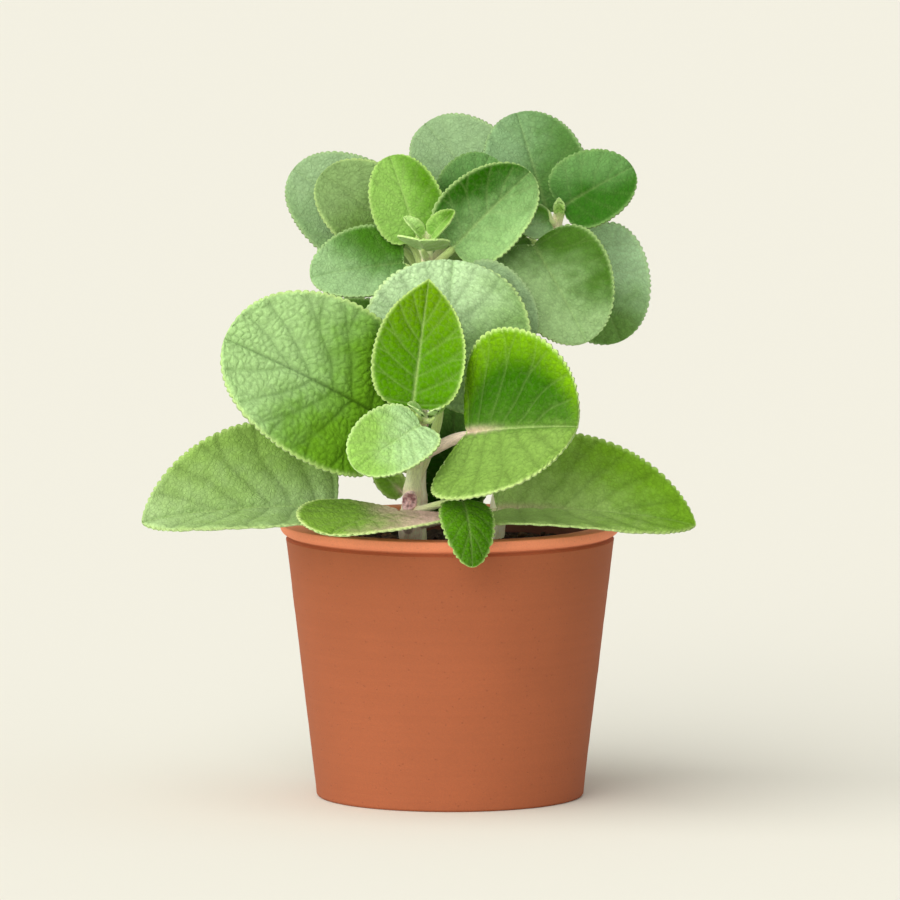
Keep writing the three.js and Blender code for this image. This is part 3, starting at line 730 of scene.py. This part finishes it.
        # The rim is a ring of vertices pushed outwards half way between the two faces.
        edge = flat[top_edge]
        onward = np.roll(edge, -1, 0) - np.roll(edge, 1, 0)
        speed = np.maximum(np.hypot(*onward.T), 1e-6)
        out = np.stack([onward[:, 1] / speed, -onward[:, 0] / speed], 1)
        step = 0.01
        pushed = (self.frame_at(*(edge + step * out).T)[0] - self.frame_at(*edge.T)[0]) / step
        under = places[low_edge]
        under = np.stack([under, (under + np.roll(under, -1, 0)) / 2], 1).reshape(-1, 3)
        middle = (places[top_edge] + under) / 2 + pushed * thin * 0.9
        ring = len(places) + np.arange(len(top_edge))
        after, low_after, odd = np.roll(ring, -1), np.roll(low_edge, -1), ring[1::2]
        rim_faces = np.concatenate([
            triangles(top_edge, np.roll(top_edge, -1), after),
            triangles(top_edge, after, ring),
            triangles(low_edge, ring[::2], odd),
            triangles(low_edge, odd, low_after),
            triangles(low_after, odd, after[1::2]),
        ])
        rim = blend(self.look["pale"], (226, 248, 170), self.bright * self.look["edge"])
        hair_roots = middle, unit(pushed), unit(places[top_edge] - middle)
        places = np.concatenate([places, middle])
        colours = np.concatenate(colours + [np.tile(rim, (len(ring), 1))])
        flat = np.concatenate([flat, edge])

        # The rim lies round the upper face on the atlas, and the lower face has a place of its own.
        from_corner = flat - [flat[:, 0].min(), -self.half * 1.15]
        on_top = from_corner + [1.2, 1.2] + corner
        shift = np.zeros_like(on_top)
        shift[ring] = 0.5 * out
        shift[low_edge] = out[::2]
        below = from_corner * 0.5 + lower_corner
        low_faces = low_faces[:, ::-1]
        atlas = [on_top[top_faces], (on_top + shift)[rim_faces], below[low_faces]]
        faces = np.concatenate([top_faces, rim_faces, low_faces])
        own = (flat + [0, 200 * (self.seed % 50)])[faces].reshape(-1, 2) / 100
        atlas = np.concatenate(atlas).reshape(-1, 2) / side
        return Part(places, faces, colours, atlas, own, self.look["net"]), hair_roots

    def atlas_size(self):
        return (1 + 0.5 * self.form["lobe"]) * self.length + 3, 2.3 * self.half + 3


# Stems, stalks and hairs


def stem_place(route, height):
    """Place on a stem at a height."""
    line = catmull_rom(route, 400)
    return np.array([np.interp(height, line[:, 2], line[:, k]) for k in range(3)])


def stem_radius(shoot, height):
    """Radius of a stem at each height: thinner towards the top and swollen where stalks leave it."""
    low, high = shoot["route"][0][2], shoot["route"][-1][2]
    swell = sum(0.22 * hill(height - at, 3.5) for _, at, *_ in shoot["leaves"])
    return np.interp(height, [low, high], shoot["radii"]) * (0.94 + np.minimum(swell, 0.3))


def stem_colours(line, leaves):
    """From a woolly pinkish grey at the foot to green at the top, pinker at the joints."""
    height = line[:, 2]
    share = (height - height[0]) / (height[-1] - height[0])
    colours = blend((255, 250, 216), (216, 232, 170), ease(0.35, 0.9, share))
    joint = reduce(np.maximum, [hill(height - leaf.at, 2.2) for leaf in leaves])
    return blend(colours, (236, 190, 182), 0.4 * joint)


def stalk(leaf, route):
    """A leaf stalk from the middle of the stem to a little way under the blade, as tube() takes it."""
    radius = STALK_RADIUS + STALK_RADIUS_PER_WIDTH * 2 * leaf.half
    reach = min(STALK_REACH, leaf.length / 4)
    place, normal = leaf.frame_at(np.array([reach]), np.zeros(1))
    end = place[0] - normal[0] * radius * STALK_SINK
    start = stem_place(route, leaf.at)
    arriving = end - leaf.start * STALK_ARRIVING * np.linalg.norm(end - start)
    points = [start, start + (end - start) * STALK_LEAVING, arriving, end]
    share = np.linspace(0, 1, STALK_STEPS)
    widths = radius * np.linspace(*STALK_TAPER, STALK_STEPS)
    widths[:3] *= [1.2, 1.12, 1.04]
    widths[-4:] *= [0.94, 0.85, 0.73, 0.6]
    colours = blend((228, 218, 184), (196, 220, 136), ease(0, 0.7, share))
    colours = blend(colours, (244, 218, 204), leaf.look["blush"] * np.ones(STALK_STEPS))
    return bezier(points, share), widths, STALK_SIDES, colours, 0.03


def tube(line, radii, sides, colours, ridges, corner, side, seed):
    """Closed tube along a line, with a blunt cap at its end and an uneven skin, and where hairs may
    stand on it."""
    ahead = unit(np.gradient(line, axis=0))
    across = np.cross(ahead[0], (0.3, 1, 0.1))
    frames = []
    for way in ahead:
        across = unit(across - way * np.dot(across, way))
        frames.append((across, np.cross(way, across)))
    ones, others = np.array(frames).transpose(1, 0, 2)[:, :, None]
    k = np.arange(sides)
    angle = TURN * k / sides
    run = run_along(line)
    rough = 0.03 * noise(run[:, None], 8 * np.sin(angle), 2.2, seed)
    rough = rough + 0.03 * noise(run[:, None], 8 * np.cos(angle), 5, seed + 1)
    radius = radii[:, None] * (1 + ridges * np.cos(4 * angle) + rough)
    ring = ones * np.cos(angle)[:, None] + others * np.sin(angle)[:, None]
    skin = (line[:, None] + ring * radius[..., None]).reshape(-1, 3)
    tip = line[-1] + ahead[-1] * radii[-1] * 0.6
    places = np.concatenate([skin, [line[0], tip]])

    girth = TURN * radii.max()

    def on_map(around, along):
        return np.stack(np.broadcast_arrays(around / sides * girth, along), -1)

    i, j = np.meshgrid(np.arange(len(line) - 1), k, indexing="ij")
    i = np.stack([i, i, i + 1, i + 1], -1).reshape(-1, 4)
    j = np.stack([j, j + 1, j + 1, j], -1).reshape(-1, 4)
    quads, quad_maps = i * sides + j % sides, on_map(j, run[i])
    after, top, end = (k + 1) % sides, len(skin) - sides, run[-1]
    faces = [quads[:, [0, 1, 2]], quads[:, [0, 2, 3]]]
    faces += [triangles(len(skin), after, k), triangles(top + k, top + after, len(skin) + 1)]
    maps = [quad_maps[:, [0, 1, 2]], quad_maps[:, [0, 2, 3]]]
    maps.append(np.stack([on_map(k + 0.5, -1.0), on_map(k + 1, 0), on_map(k, 0)], 1))
    maps.append(np.stack([on_map(k, end), on_map(k + 1, end), on_map(k + 0.5, end + 1)], 1))
    maps = np.concatenate(maps).reshape(-1, 2)
    colours = np.concatenate([np.repeat(colours, sides, 0), colours[:1], colours[-1:]])
    atlas = (maps + corner + [0.3, 1.2]) / side
    flat = (maps + [0, 37 * (seed % 40)]) / 100
    hair_roots = skin, ring.reshape(-1, 3), np.repeat(ahead, sides, 0)
    return Part(places, np.concatenate(faces), colours, atlas, flat), hair_roots


def hairs(roots, share, length, seed):
    """Fine stiff hairs on a skin, as thin three-sided spikes, about one for share of its vertices."""
    random = np.random.default_rng(seed)
    total = len(roots[0])
    count = round(total / share)
    chosen = random.integers(0, total, count)
    foot, out, up = (rows[chosen] for rows in roots)
    way = unit(out + 0.2 * up + random.normal(0, 0.3, (count, 3)))
    one = unit(np.cross(way, random.normal(0, 1, (count, 3))))
    other = np.cross(way, one)
    foot = foot + random.normal(0, 0.2, (count, 3)) - 0.15 * out
    reach = length * random.uniform(0.5, 1.2, (count, 1))
    angles = TURN * np.arange(3) / 3
    corners = [foot + HAIR_RADIUS * (math.cos(a) * one + math.sin(a) * other) for a in angles]
    places = np.stack([*corners, foot + way * reach], 1).reshape(-1, 3)
    spike = np.array([[0, 1, 3], [1, 2, 3], [2, 0, 3], [0, 2, 1]])
    k = np.arange(count)
    faces = (k[:, None, None] * 4 + spike).reshape(-1, 3)
    grid = math.ceil(math.sqrt(count))
    cell = np.stack([k % grid, k // grid], 1)[:, None, None]
    local = np.array([[(0.1, 0.1), (0.9, 0.1), (0.5, 0.9)]] * 4)
    atlas = ((cell + local) / grid).reshape(-1, 2)
    colours = blend((206, 226, 160), (238, 244, 216), random.uniform(0, 1, count))
    return Part(places, faces, np.repeat(colours, 4, 0), atlas, atlas)


def make_shoot(name, shoot, first_seed, leaf_skin, stem_skin, hair_skin):
    """Leaves, then the stem with its stalks, then all hairs, each as pieces of their own."""
    leaves = [Leaf(row, first_seed + k) for k, row in enumerate(shoot["leaves"])]
    wool = []
    all_leaves = {name.replace("shoot", "leaves"): range(len(leaves))}
    for title, members in shoot.get("pieces", all_leaves).items():
        chosen = [leaves[k] for k in members]
        sizes = np.array([leaf.atlas_size() for leaf in chosen])
        corners, side = shelves(np.concatenate([sizes, sizes / 2]))
        parts = []
        for k, leaf in enumerate(chosen):
            part, roots = leaf.part(corners[k], corners[len(chosen) + k], side)
            parts.append(part)
            wool.append(hairs(roots, MARGIN_SHARE, 0.35 + 0.012 * leaf.half, leaf.seed))
        attach(joined(title, parts, leaf_skin), shoot["slot"])

    line = catmull_rom(shoot["route"], 90)
    tubes = [(line, stem_radius(shoot, line[:, 2]), STEM_SIDES, stem_colours(line, leaves), 0.05)]
    tubes += [stalk(leaf, shoot["route"]) for leaf in leaves]
    corners, side = shelves([(TURN * radii.max() + 1, run_along(way)[-1] + 3) for way, radii, *_ in tubes])
    parts = []
    for k, shape in enumerate(tubes):
        part, roots = tube(*shape, corners[k], side, first_seed + 3 * k)
        parts.append(part)
        wool.append(hairs(roots, STALK_SHARE if k else STEM_SHARE, STEM_HAIR_LENGTH, first_seed + k))
    attach(joined(name.replace("shoot", "stem"), parts, stem_skin), shoot["slot"], name)
    attach(joined(name.replace("shoot", "hairs"), wool, hair_skin), shoot["slot"])


# Materials


class Nodes:
    """Short names for the node tree of one material."""

    def __init__(self, name):
        self.material = bpy.data.materials.new(name)
        self.material.use_nodes = True
        self.tree = self.material.node_tree

    def fill(self, node, inputs):
        """Sets a node's inputs, each to a value or to another node's output."""
        for name, value in inputs.items():
            socket = node.inputs[name if isinstance(name, int) else name.replace("_", " ")]
            if isinstance(value, bpy.types.NodeSocket):
                self.tree.links.new(value, socket)
            else:
                socket.default_value = value

    def node(self, kind, setting=None, **inputs):
        """New node. Its setting is the name of a property and its value."""
        made = self.tree.nodes.new("ShaderNode" + kind)
        if setting:
            setattr(made, *setting)
        self.fill(made, inputs)
        return made

    def ramp(self, value, low, high, to_low, to_high):
        """A value from low to high turned smoothly into one from to_low to to_high."""
        smooth = ("interpolation_type", "SMOOTHSTEP")
        ends = dict(From_Min=low, From_Max=high, To_Min=to_low, To_Max=to_high)
        return self.node("MapRange", smooth, Value=value, **ends).outputs["Result"]

    def swing(self, value, to_low, to_high):
        """The same for noise, which seldom leaves 0.3 to 0.7."""
        return self.ramp(value, 0.3, 0.7, to_low, to_high)

    def product(self, one, other):
        made = self.node("Math", ("operation", "MULTIPLY"))
        self.fill(made, {0: one, 1: other})
        return made.outputs["Value"]

    def noise(self, where, scale, detail=2, rough=0.5):
        made = self.node("TexNoise", Vector=where, Scale=scale, Detail=detail, Roughness=rough)
        return made.outputs["Fac"]

    def stretched(self, where, scale):
        return self.node("Mapping", Vector=where, Scale=scale).outputs["Vector"]

    def paint(self):
        return self.node("VertexColor", ("layer_name", "Paint")).outputs

    def flat(self):
        return self.node("UVMap", ("uv_map", "Flat")).outputs["UV"]

    def place(self):
        return self.node("TexCoord").outputs["Object"]

    def skin(self, shades, bumps, **shader):
        """Material of the painted colour times its shades, with bumps on bumps, each a height and its
        depth in metres, and other inputs of the shader."""
        colour = self.node("VectorMath", ("operation", "SCALE"), Scale=reduce(self.product, shades))
        self.fill(colour, {0: self.paint()["Color"]})
        shader["Base Color"] = colour.outputs["Vector"]
        for height, depth in bumps:
            below = {"Normal": shader["Normal"]} if "Normal" in shader else {}
            bump = self.node("Bump", Height=height, Distance=depth, Strength=1.0, **below)
            shader["Normal"] = bump.outputs["Normal"]
        return self.plain(**shader)

    def plain(self, **shader):
        """Material with these inputs of the shader."""
        self.fill(self.tree.nodes["Principled BSDF"], shader)
        return self.material


def leaf_material():
    """Felted green skin: painted colour, a fine net of small veins, pores and a soft sheen."""
    n = Nodes("leaf_skin")
    where = n.flat()
    net = n.node("TexVoronoi", ("feature", "DISTANCE_TO_EDGE"), Vector=where, Scale=58.0, Randomness=0.95)
    seam = n.product(n.ramp(net.outputs["Distance"], 0.0, 0.25, 1.0, 0.0), n.paint()["Alpha"])
    pores, patches = n.noise(where, 190.0, 3, 0.6), n.noise(where, 9.0, 3, 0.6)
    shades = [n.ramp(seam, 0, 1, 1.05, 0.78), n.swing(pores, 0.94, 1.07), n.swing(patches, 0.95, 1.05)]
    bumps = [(n.ramp(seam, 0, 1, 1, 0), 0.0003), (pores, 0.0001)]
    return n.skin(shades, bumps, Roughness=n.swing(pores, 0.58, 0.74), Specular_IOR_Level=0.04,
                  Sheen_Weight=0.01, Sheen_Roughness=0.4, Sheen_Tint=(0.86, 1.0, 0.78, 1.0))


def stem_material():
    """Woolly skin of stems and stalks, streaked along their length."""
    n = Nodes("stem_skin")
    where = n.flat()
    streaks = n.noise(n.stretched(where, (1.0, 0.3, 1.0)), 120.0, 3, 0.6)
    wool = n.noise(where, 260.0, 3, 0.7)
    shades = [n.swing(streaks, 0.9, 1.18), n.swing(wool, 0.94, 1.16)]
    return n.skin(shades, [(streaks, 0.0002), (wool, 0.00025)], Roughness=n.swing(wool, 0.7, 0.85),
                  Specular_IOR_Level=0.3, Sheen_Weight=0.35, Sheen_Roughness=0.45,
                  Sheen_Tint=(1.0, 0.97, 0.9, 1.0))


def hair_material():
    """Pale hairs, a little uneven in tone."""
    n = Nodes("hair")
    shade = n.swing(n.noise(n.place(), 400.0), 0.9, 1.1)
    return n.skin([shade], [], Roughness=0.6, Specular_IOR_Level=0.3)


def soil_material():
    """Dark moist peat with lighter fibres."""
    n = Nodes("potting_soil")
    place = n.place()
    grains, clods = n.noise(place, 900.0, 4, 0.7), n.noise(place, 220.0, 3, 0.6)
    shades = [n.ramp(grains, 0.3, 0.75, 0.6, 1.5), n.swing(clods, 0.75, 1.25)]
    return n.skin(shades, [(clods, 0.0006), (grains, 0.0004)], Roughness=n.swing(clods, 0.75, 1.0),
                  Specular_IOR_Level=0.25)


def clay_material():
    """Fired clay: an even warm red with faint clouds, turning lines, fine sand and small pores."""
    n = Nodes("fired_clay")
    place = n.place()
    lines = n.noise(n.stretched(place, (4.0, 4.0, 420.0)), 1.0)
    clouds, sand = n.noise(place, 14.0, 3, 0.55), n.noise(place, 1400.0, 2, 0.6)
    pits = n.node("TexVoronoi", Vector=place, Scale=330.0, Randomness=1.0)
    pore = n.ramp(pits.outputs["Distance"], 0.06, 0.16, 0.0, 1.0)
    shades = [n.swing(clouds, 0.955, 1.045), n.swing(sand, 0.95, 1.05), n.ramp(pore, 0, 1, 0.86, 1.0),
              n.swing(lines, 0.985, 1.015)]
    bumps = [(lines, 0.00012), (pore, 0.00012), (sand, 0.00006)]
    return n.skin(shades, bumps, Roughness=n.swing(sand, 0.74, 0.86), Specular_IOR_Level=0.3)


def cork_material():
    """Dry corky skin of an old leaf scar."""
    n = Nodes("cork")
    flakes = n.noise(n.place(), 900.0, 3, 0.65)
    return n.skin([n.swing(flakes, 0.7, 1.25)], [(flakes, 0.0003)],
                  Roughness=n.swing(flakes, 0.7, 0.95), Specular_IOR_Level=0.25)


# Pot


def arc(centre, radius, start, end, count):
    """Points on part of a circle, angles in quarter turns from straight out."""
    angle = np.linspace(start, end, count) * math.pi / 2
    return [(centre[0] + radius * math.cos(a), centre[1] + radius * math.sin(a)) for a in angle]


def straight(start, end, count):
    """Points from start up to but not including end."""
    return [tuple(np.array(start) + (np.array(end) - start) * k / count) for k in range(count)]


def inside_radius(height):
    """Radius of the pot's inside wall at a height."""
    foot = BASE_RADIUS + (SHOULDER_RADIUS - BASE_RADIUS) * FLOOR / RIM_FOOT - WALL
    return foot + (MOUTH_RADIUS - foot) * (height - FLOOR) / (POT_HEIGHT - FLOOR)


def pot_profile():
    """From the middle of the base up the outside, over the rim and down to the middle of the floor."""
    neck, groove = SHOULDER_RADIUS - GROOVE_DEPTH, RIM_FOOT - GROOVE_HEIGHT
    base, shoulder = BASE_RADIUS - BASE_ROUND, (SHOULDER_RADIUS, groove - GROOVE_DEPTH)
    points = straight((AXIS, 0), (base, 0), 12)
    points += arc((base, BASE_ROUND), BASE_ROUND, -1, 0, 5)
    points += straight(points[-1], shoulder, 40)[1:]
    points += [shoulder, (neck + GROOVE_ROUND, groove - GROOVE_ROUND), (neck, groove), (neck, RIM_FOOT)]
    points += arc((RIM_RADIUS - RIM_ROUND, RIM_FOOT + RIM_ROUND), RIM_ROUND, -1, 0, 9)
    points += arc((RIM_RADIUS - RIM_EDGE_ROUND, POT_HEIGHT - RIM_EDGE_ROUND), RIM_EDGE_ROUND, 0, 1, 4)
    points += arc((MOUTH_RADIUS + MOUTH_ROUND, POT_HEIGHT - MOUTH_ROUND), MOUTH_ROUND, 1, 2, 5)
    corner, middle = (inside_radius(FLOOR), FLOOR), (AXIS, FLOOR)
    return points + straight(points[-1], corner, 24)[1:] + straight(corner, middle, 12) + [middle]


def turned(profile, sides):
    """Vertices and faces of a profile turned round the Z axis. The first and last points are the middle."""
    profile = np.array(profile, float)
    k = np.arange(sides)
    angle = TURN * k / sides
    ring = profile[1:-1]
    x, y = np.cos(angle)[:, None] * ring[:, 0], np.sin(angle)[:, None] * ring[:, 0]
    places = np.stack(np.broadcast_arrays(x, y, ring[:, 1]), -1).reshape(-1, 3)
    count, low = len(ring), len(places)
    near, far = k * count, (k + 1) % sides * count
    places = np.concatenate([places, [[0, 0, profile[0, 1]], [0, 0, profile[-1, 1]]]])
    ends = [triangles(low, far, near), triangles(low + 1, near + count - 1, far + count - 1)]
    return places, np.concatenate([grid_faces(sides, count, closed=True), *ends])


def cut(piece, cutter):
    """Cuts a closed piece out of another and removes it."""
    change = piece.modifiers.new("cut", "BOOLEAN")
    change.operation, change.solver, change.object = "DIFFERENCE", "EXACT", cutter
    shown = piece.evaluated_get(bpy.context.evaluated_depsgraph_get())
    mesh = bpy.data.meshes.new_from_object(shown)
    piece.modifiers.clear()
    piece.data = mesh
    bpy.data.objects.remove(cutter)


def clay_colours(places):
    """Warm red outside, a lip painted lighter as painted light on the rim's top, and painted shade on the
    inside wall.
    """
    radius, height = np.hypot(places[:, 0], places[:, 1]), places[:, 2]
    # Painted light: the lip is lighter, as where the rim's top catches the light.
    colour = blend((164, 91, 57), (236, 144, 104), ease(RIM_FOOT - 0.6, RIM_FOOT + 0.4, height))
    # Painted shade on the inside wall, up to a few millimetres under the mouth.
    inside = (radius < inside_radius(height) + 1.2) & (height > FLOOR - 0.1)
    painted_inside_shade = inside * (1 - ease(POT_HEIGHT - 3.5, POT_HEIGHT - 0.5, height))
    return blend(colour, (92, 54, 42), 0.9 * painted_inside_shade)


def make_pot(material):
    places, faces = turned(pot_profile(), POT_SIDES)
    radius, height = np.hypot(places[:, 0], places[:, 1]), places[:, 2]
    turn = np.arctan2(places[:, 1], places[:, 0])
    outside = (radius > BASE_RADIUS - 2) & (height > 3) & (height < RIM_FOOT - 3)
    uneven = 0.1 * noise(turn * 12, height, 14, 5) + 0.05 * noise(turn * 4, height, 2.6, 6)
    places[:, :2] *= (1 + outside * (uneven - 0.1) / np.maximum(radius, 1))[:, None]
    pot = new_object("clay_pot", places, faces)
    low, high = -DRAIN_OVERSHOOT, FLOOR + DRAIN_OVERSHOOT
    plug, sides = turned([(AXIS, low), (DRAIN_RADIUS, low), (DRAIN_RADIUS, high), (AXIS, high)], 32)
    for k in range(DRAIN_COUNT):
        angle = math.pi / DRAIN_COUNT + TURN * k / DRAIN_COUNT
        at = [DRAIN_CIRCLE_RADIUS * math.cos(angle), DRAIN_CIRCLE_RADIUS * math.sin(angle), 0]
        cut(pot, new_object("drain_hole", plug + at, sides))
    places = np.array([v.co for v in pot.data.vertices]) / MM
    dress(pot, clay_colours(places), np.ones(len(places)), material)
    pot.data.set_sharp_from_angle(angle=SHARP_ANGLE)
    attach(pot, "clay", "pot")


# Soil and scars


def soil_height(x, y):
    """Height of the crumbly surface: the solid's slow lumps, grains, and a small heap round each stem."""
    slow = np.sin(0.11 * x + 0.9) * np.cos(0.13 * y - 0.4)
    quick = np.sin(0.37 * x - 0.21 * y) * np.cos(0.29 * y + 0.17 * x)
    height = SOIL_LEVEL + SOIL_LUMP * (slow + quick)
    for size, depth, seed in SOIL_GRAINS:
        seam, number = pebbles(x, y, size, seed)
        height = height + depth * (ease(0, 0.35 * size, seam) * (0.4 + 0.6 * number) - 0.4)
    for foot in stem_feet():
        height = height + 1.2 * hill(np.hypot(x - foot[0], y - foot[1]) - 6, 5)
    return height


def stem_feet():
    """Places where the stems come out of the soil."""
    return [stem_place(shoot["route"], SOIL_LEVEL)[:2] for shoot in SHOOTS.values()]


def make_soil(material):
    edge = inside_radius(SOIL_LEVEL) - 0.1
    rings = round(edge / SOIL_SPACING)
    foot = FLOOR + 0.3
    outer = [(AXIS, foot), (inside_radius(foot) - 0.3, foot), (edge, SOIL_LEVEL)]
    top = [(edge * (1 - k / rings), SOIL_LEVEL) for k in range(1, rings - 3)] + [(AXIS, SOIL_LEVEL)]
    places, faces = turned(outer + top, SOIL_SIDES)
    x, y = places[:, 0], places[:, 1]
    upper = places[:, 2] > SOIL_LEVEL - 1
    rim = upper & (np.hypot(x, y) > edge - 0.5)
    places[upper, 2] = soil_height(x[upper], y[upper])
    places[rim, 2] = SOIL_LEVEL + 0.6 * noise(x[rim], y[rim], 5, 71) + 0.4
    patch = noise(x, y, 2.4, 61) * 0.5 + noise(x, y, 7, 62) * 0.5
    colours = blend((44, 31, 25), (92, 66, 48), 0.45 * ease(-0.2, 0.8, patch))
    attach(painted("soil_bed", places, faces, colours, material), "soil", "soil")


def make_crumbs(material):
    """Loose crumbs of peat and bark that lie half sunk on the soil."""
    random = np.random.default_rng(5)
    golden = (1 + math.sqrt(5)) / 2
    corners = [(-1, golden, 0), (1, golden, 0), (-1, -golden, 0), (1, -golden, 0)]
    corners = unit([p[-k:] + p[:-k] for k in range(3) for p in corners])
    hull = []
    for a, b, c in itertools.combinations(range(len(corners)), 3):
        p, q, r = corners[[a, b, c]]
        if max(np.linalg.norm(side) for side in (p - q, q - r, r - p)) < 1.1:
            hull.append((a, b, c) if np.dot(np.cross(q - p, r - p), p) > 0 else (a, c, b))
    feet = stem_feet()
    edge = inside_radius(SOIL_LEVEL) - 3
    places, tones = [], []
    for _ in range(CRUMB_COUNT):
        angle, radius = random.uniform(0, TURN), edge * math.sqrt(random.uniform(0, 1))
        x, y = radius * math.cos(angle), radius * math.sin(angle)
        if min(math.hypot(x - foot_x, y - foot_y) for foot_x, foot_y in feet) < STEM_CLEARANCE:
            continue
        size = CRUMB_SIZES[0] + CRUMB_SIZES[1] * random.uniform(0, 1) ** 3
        stretch = random.uniform(0.6, 1.3, 3) * [1, 1, 0.75]
        spin = np.linalg.qr(random.normal(0, 1, (3, 3)))[0]
        spin = spin * np.sign(np.linalg.det(spin))
        rough = 1 + random.uniform(-0.18, 0.18, (12, 1))
        at = np.array([x, y, float(soil_height(np.array(x), np.array(y))) + 0.25 * size])
        places.append((corners * rough) @ spin * stretch * size + at)
        tones.append(np.full(12, random.uniform(0, 1)))
    faces = (12 * np.arange(len(places))[:, None, None] + hull).reshape(-1, 3)
    colours = blend((40, 28, 22), (112, 82, 58), 0.7 * np.concatenate(tones) ** 2)
    attach(painted("soil_crumbs", np.concatenate(places), faces, colours, material), "soil")


def make_scars(material):
    """Corky ovals with a raised lip where old leaves fell, each with three dark dots, bent round its
    stem."""
    profile = [(AXIS, -2.5), (1, -1), (0.98, 0.15), (0.9, 0.5), (0.8, 0.7), (0.7, 0.55), (0.6, 0.3)]
    profile += [(0.45, 0.2), (0.3, 0.25), (0.15, 0.3), (AXIS, 0.3)]
    oval, oval_faces = turned(profile, 32)
    reach = np.hypot(oval[:, 0], oval[:, 1])
    places, colours, faces = [], [], []
    for seed, (name, height, turn, width, tall) in enumerate(SCARS):
        shoot = SHOOTS[name]
        wobble = 1 + 0.14 * noise(oval[:, 0] * 3, oval[:, 1] * 3, 1.6, 84 + seed)
        across, along = oval[:, 0] * width / 2 * wobble, oval[:, 1] * tall / 2 * wobble
        lift = oval[:, 2] + 0.45 + 0.25 * noise(across, along, 0.7, 80 + seed)
        radius = stem_radius(shoot, height + along)
        angle = math.radians(turn) + across / radius
        middle = np.array([stem_place(shoot["route"], h) for h in height + along])
        way = np.stack([np.sin(angle), -np.cos(angle), 0 * angle], 1)
        places.append(middle + way * (radius + lift)[:, None])
        faces.append(oval_faces + seed * len(oval))
        patch = ease(-0.1, 0.4, noise(across, along, 1.0, 90 + seed))
        colour = blend((232, 190, 190), (150, 88, 96), 0.8 * patch)
        for dot_x, dot_y in ((-0.25, -0.05), (0, -0.2), (0.25, -0.05)):
            away = np.hypot(across - dot_x * width, along - dot_y * tall)
            colour = blend(colour, (92, 52, 56), hill(away, 0.45))
        colours.append(blend(colour, (240, 214, 204), 0.8 * ease(0.7, 0.95, reach)))
    places, faces, colours = (np.concatenate(rows) for rows in (places, faces, colours))
    attach(painted("leaf_scars", places, faces, colours, material), "fresh_leaf")


# Stage


def make_stage():
    corners = [(x * FLOOR_HALF, y * FLOOR_HALF, 0) for x, y in ((-1, -1), (1, -1), (1, 1), (-1, 1))]
    floor = new_object("floor", corners, [(0, 1, 2, 3)])
    paint = Nodes("floor_paint").plain(Base_Color=FLOOR_COLOUR, Roughness=0.9, Specular_IOR_Level=0.1)
    floor.data.materials.append(paint)

    world = bpy.data.worlds.new("soft_room")
    world.use_nodes = True
    sky = world.node_tree.nodes["Background"]
    sky.inputs["Color"].default_value = (*LIGHT_COLOUR, 1)
    sky.inputs["Strength"].default_value = SKY_STRENGTH
    bpy.context.scene.world = world
    for name, (towards, strength, softness) in SUNS.items():
        lamp = bpy.data.lights.new(name, "SUN")
        lamp.energy, lamp.angle, lamp.color = strength, math.radians(softness), LIGHT_COLOUR
        way = unit(towards)
        link(name, lamp).rotation_euler = (math.acos(way[2]), 0, math.atan2(way[1], way[0]) + math.pi / 2)


def make_camera():
    data = bpy.data.cameras.new("camera")
    data.sensor_width = SENSOR
    data.lens = SENSOR * VIEW_DISTANCE / VIEW_WIDTH
    data.clip_start, data.clip_end = 0.1, 60
    camera = link("camera", data)
    back = np.array([0, -math.cos(VIEW_ELEVATION), math.sin(VIEW_ELEVATION)])
    camera.location = (np.array([0, 0, VIEW_HEIGHT]) + back * VIEW_DISTANCE) * MM
    camera.rotation_euler = (math.pi / 2 - VIEW_ELEVATION, 0, 0)
    bpy.context.scene.camera = camera


make_camera()
make_stage()
skins = leaf_material(), stem_material(), hair_material()
for number, (name, shoot) in enumerate(SHOOTS.items()):
    make_shoot(name, shoot, SEEDS_PER_SHOOT * number, *skins)
make_scars(cork_material())
make_pot(clay_material())
soil_skin = soil_material()
make_soil(soil_skin)
make_crumbs(soil_skin)
bpy.context.scene.view_settings.view_transform = "Standard"
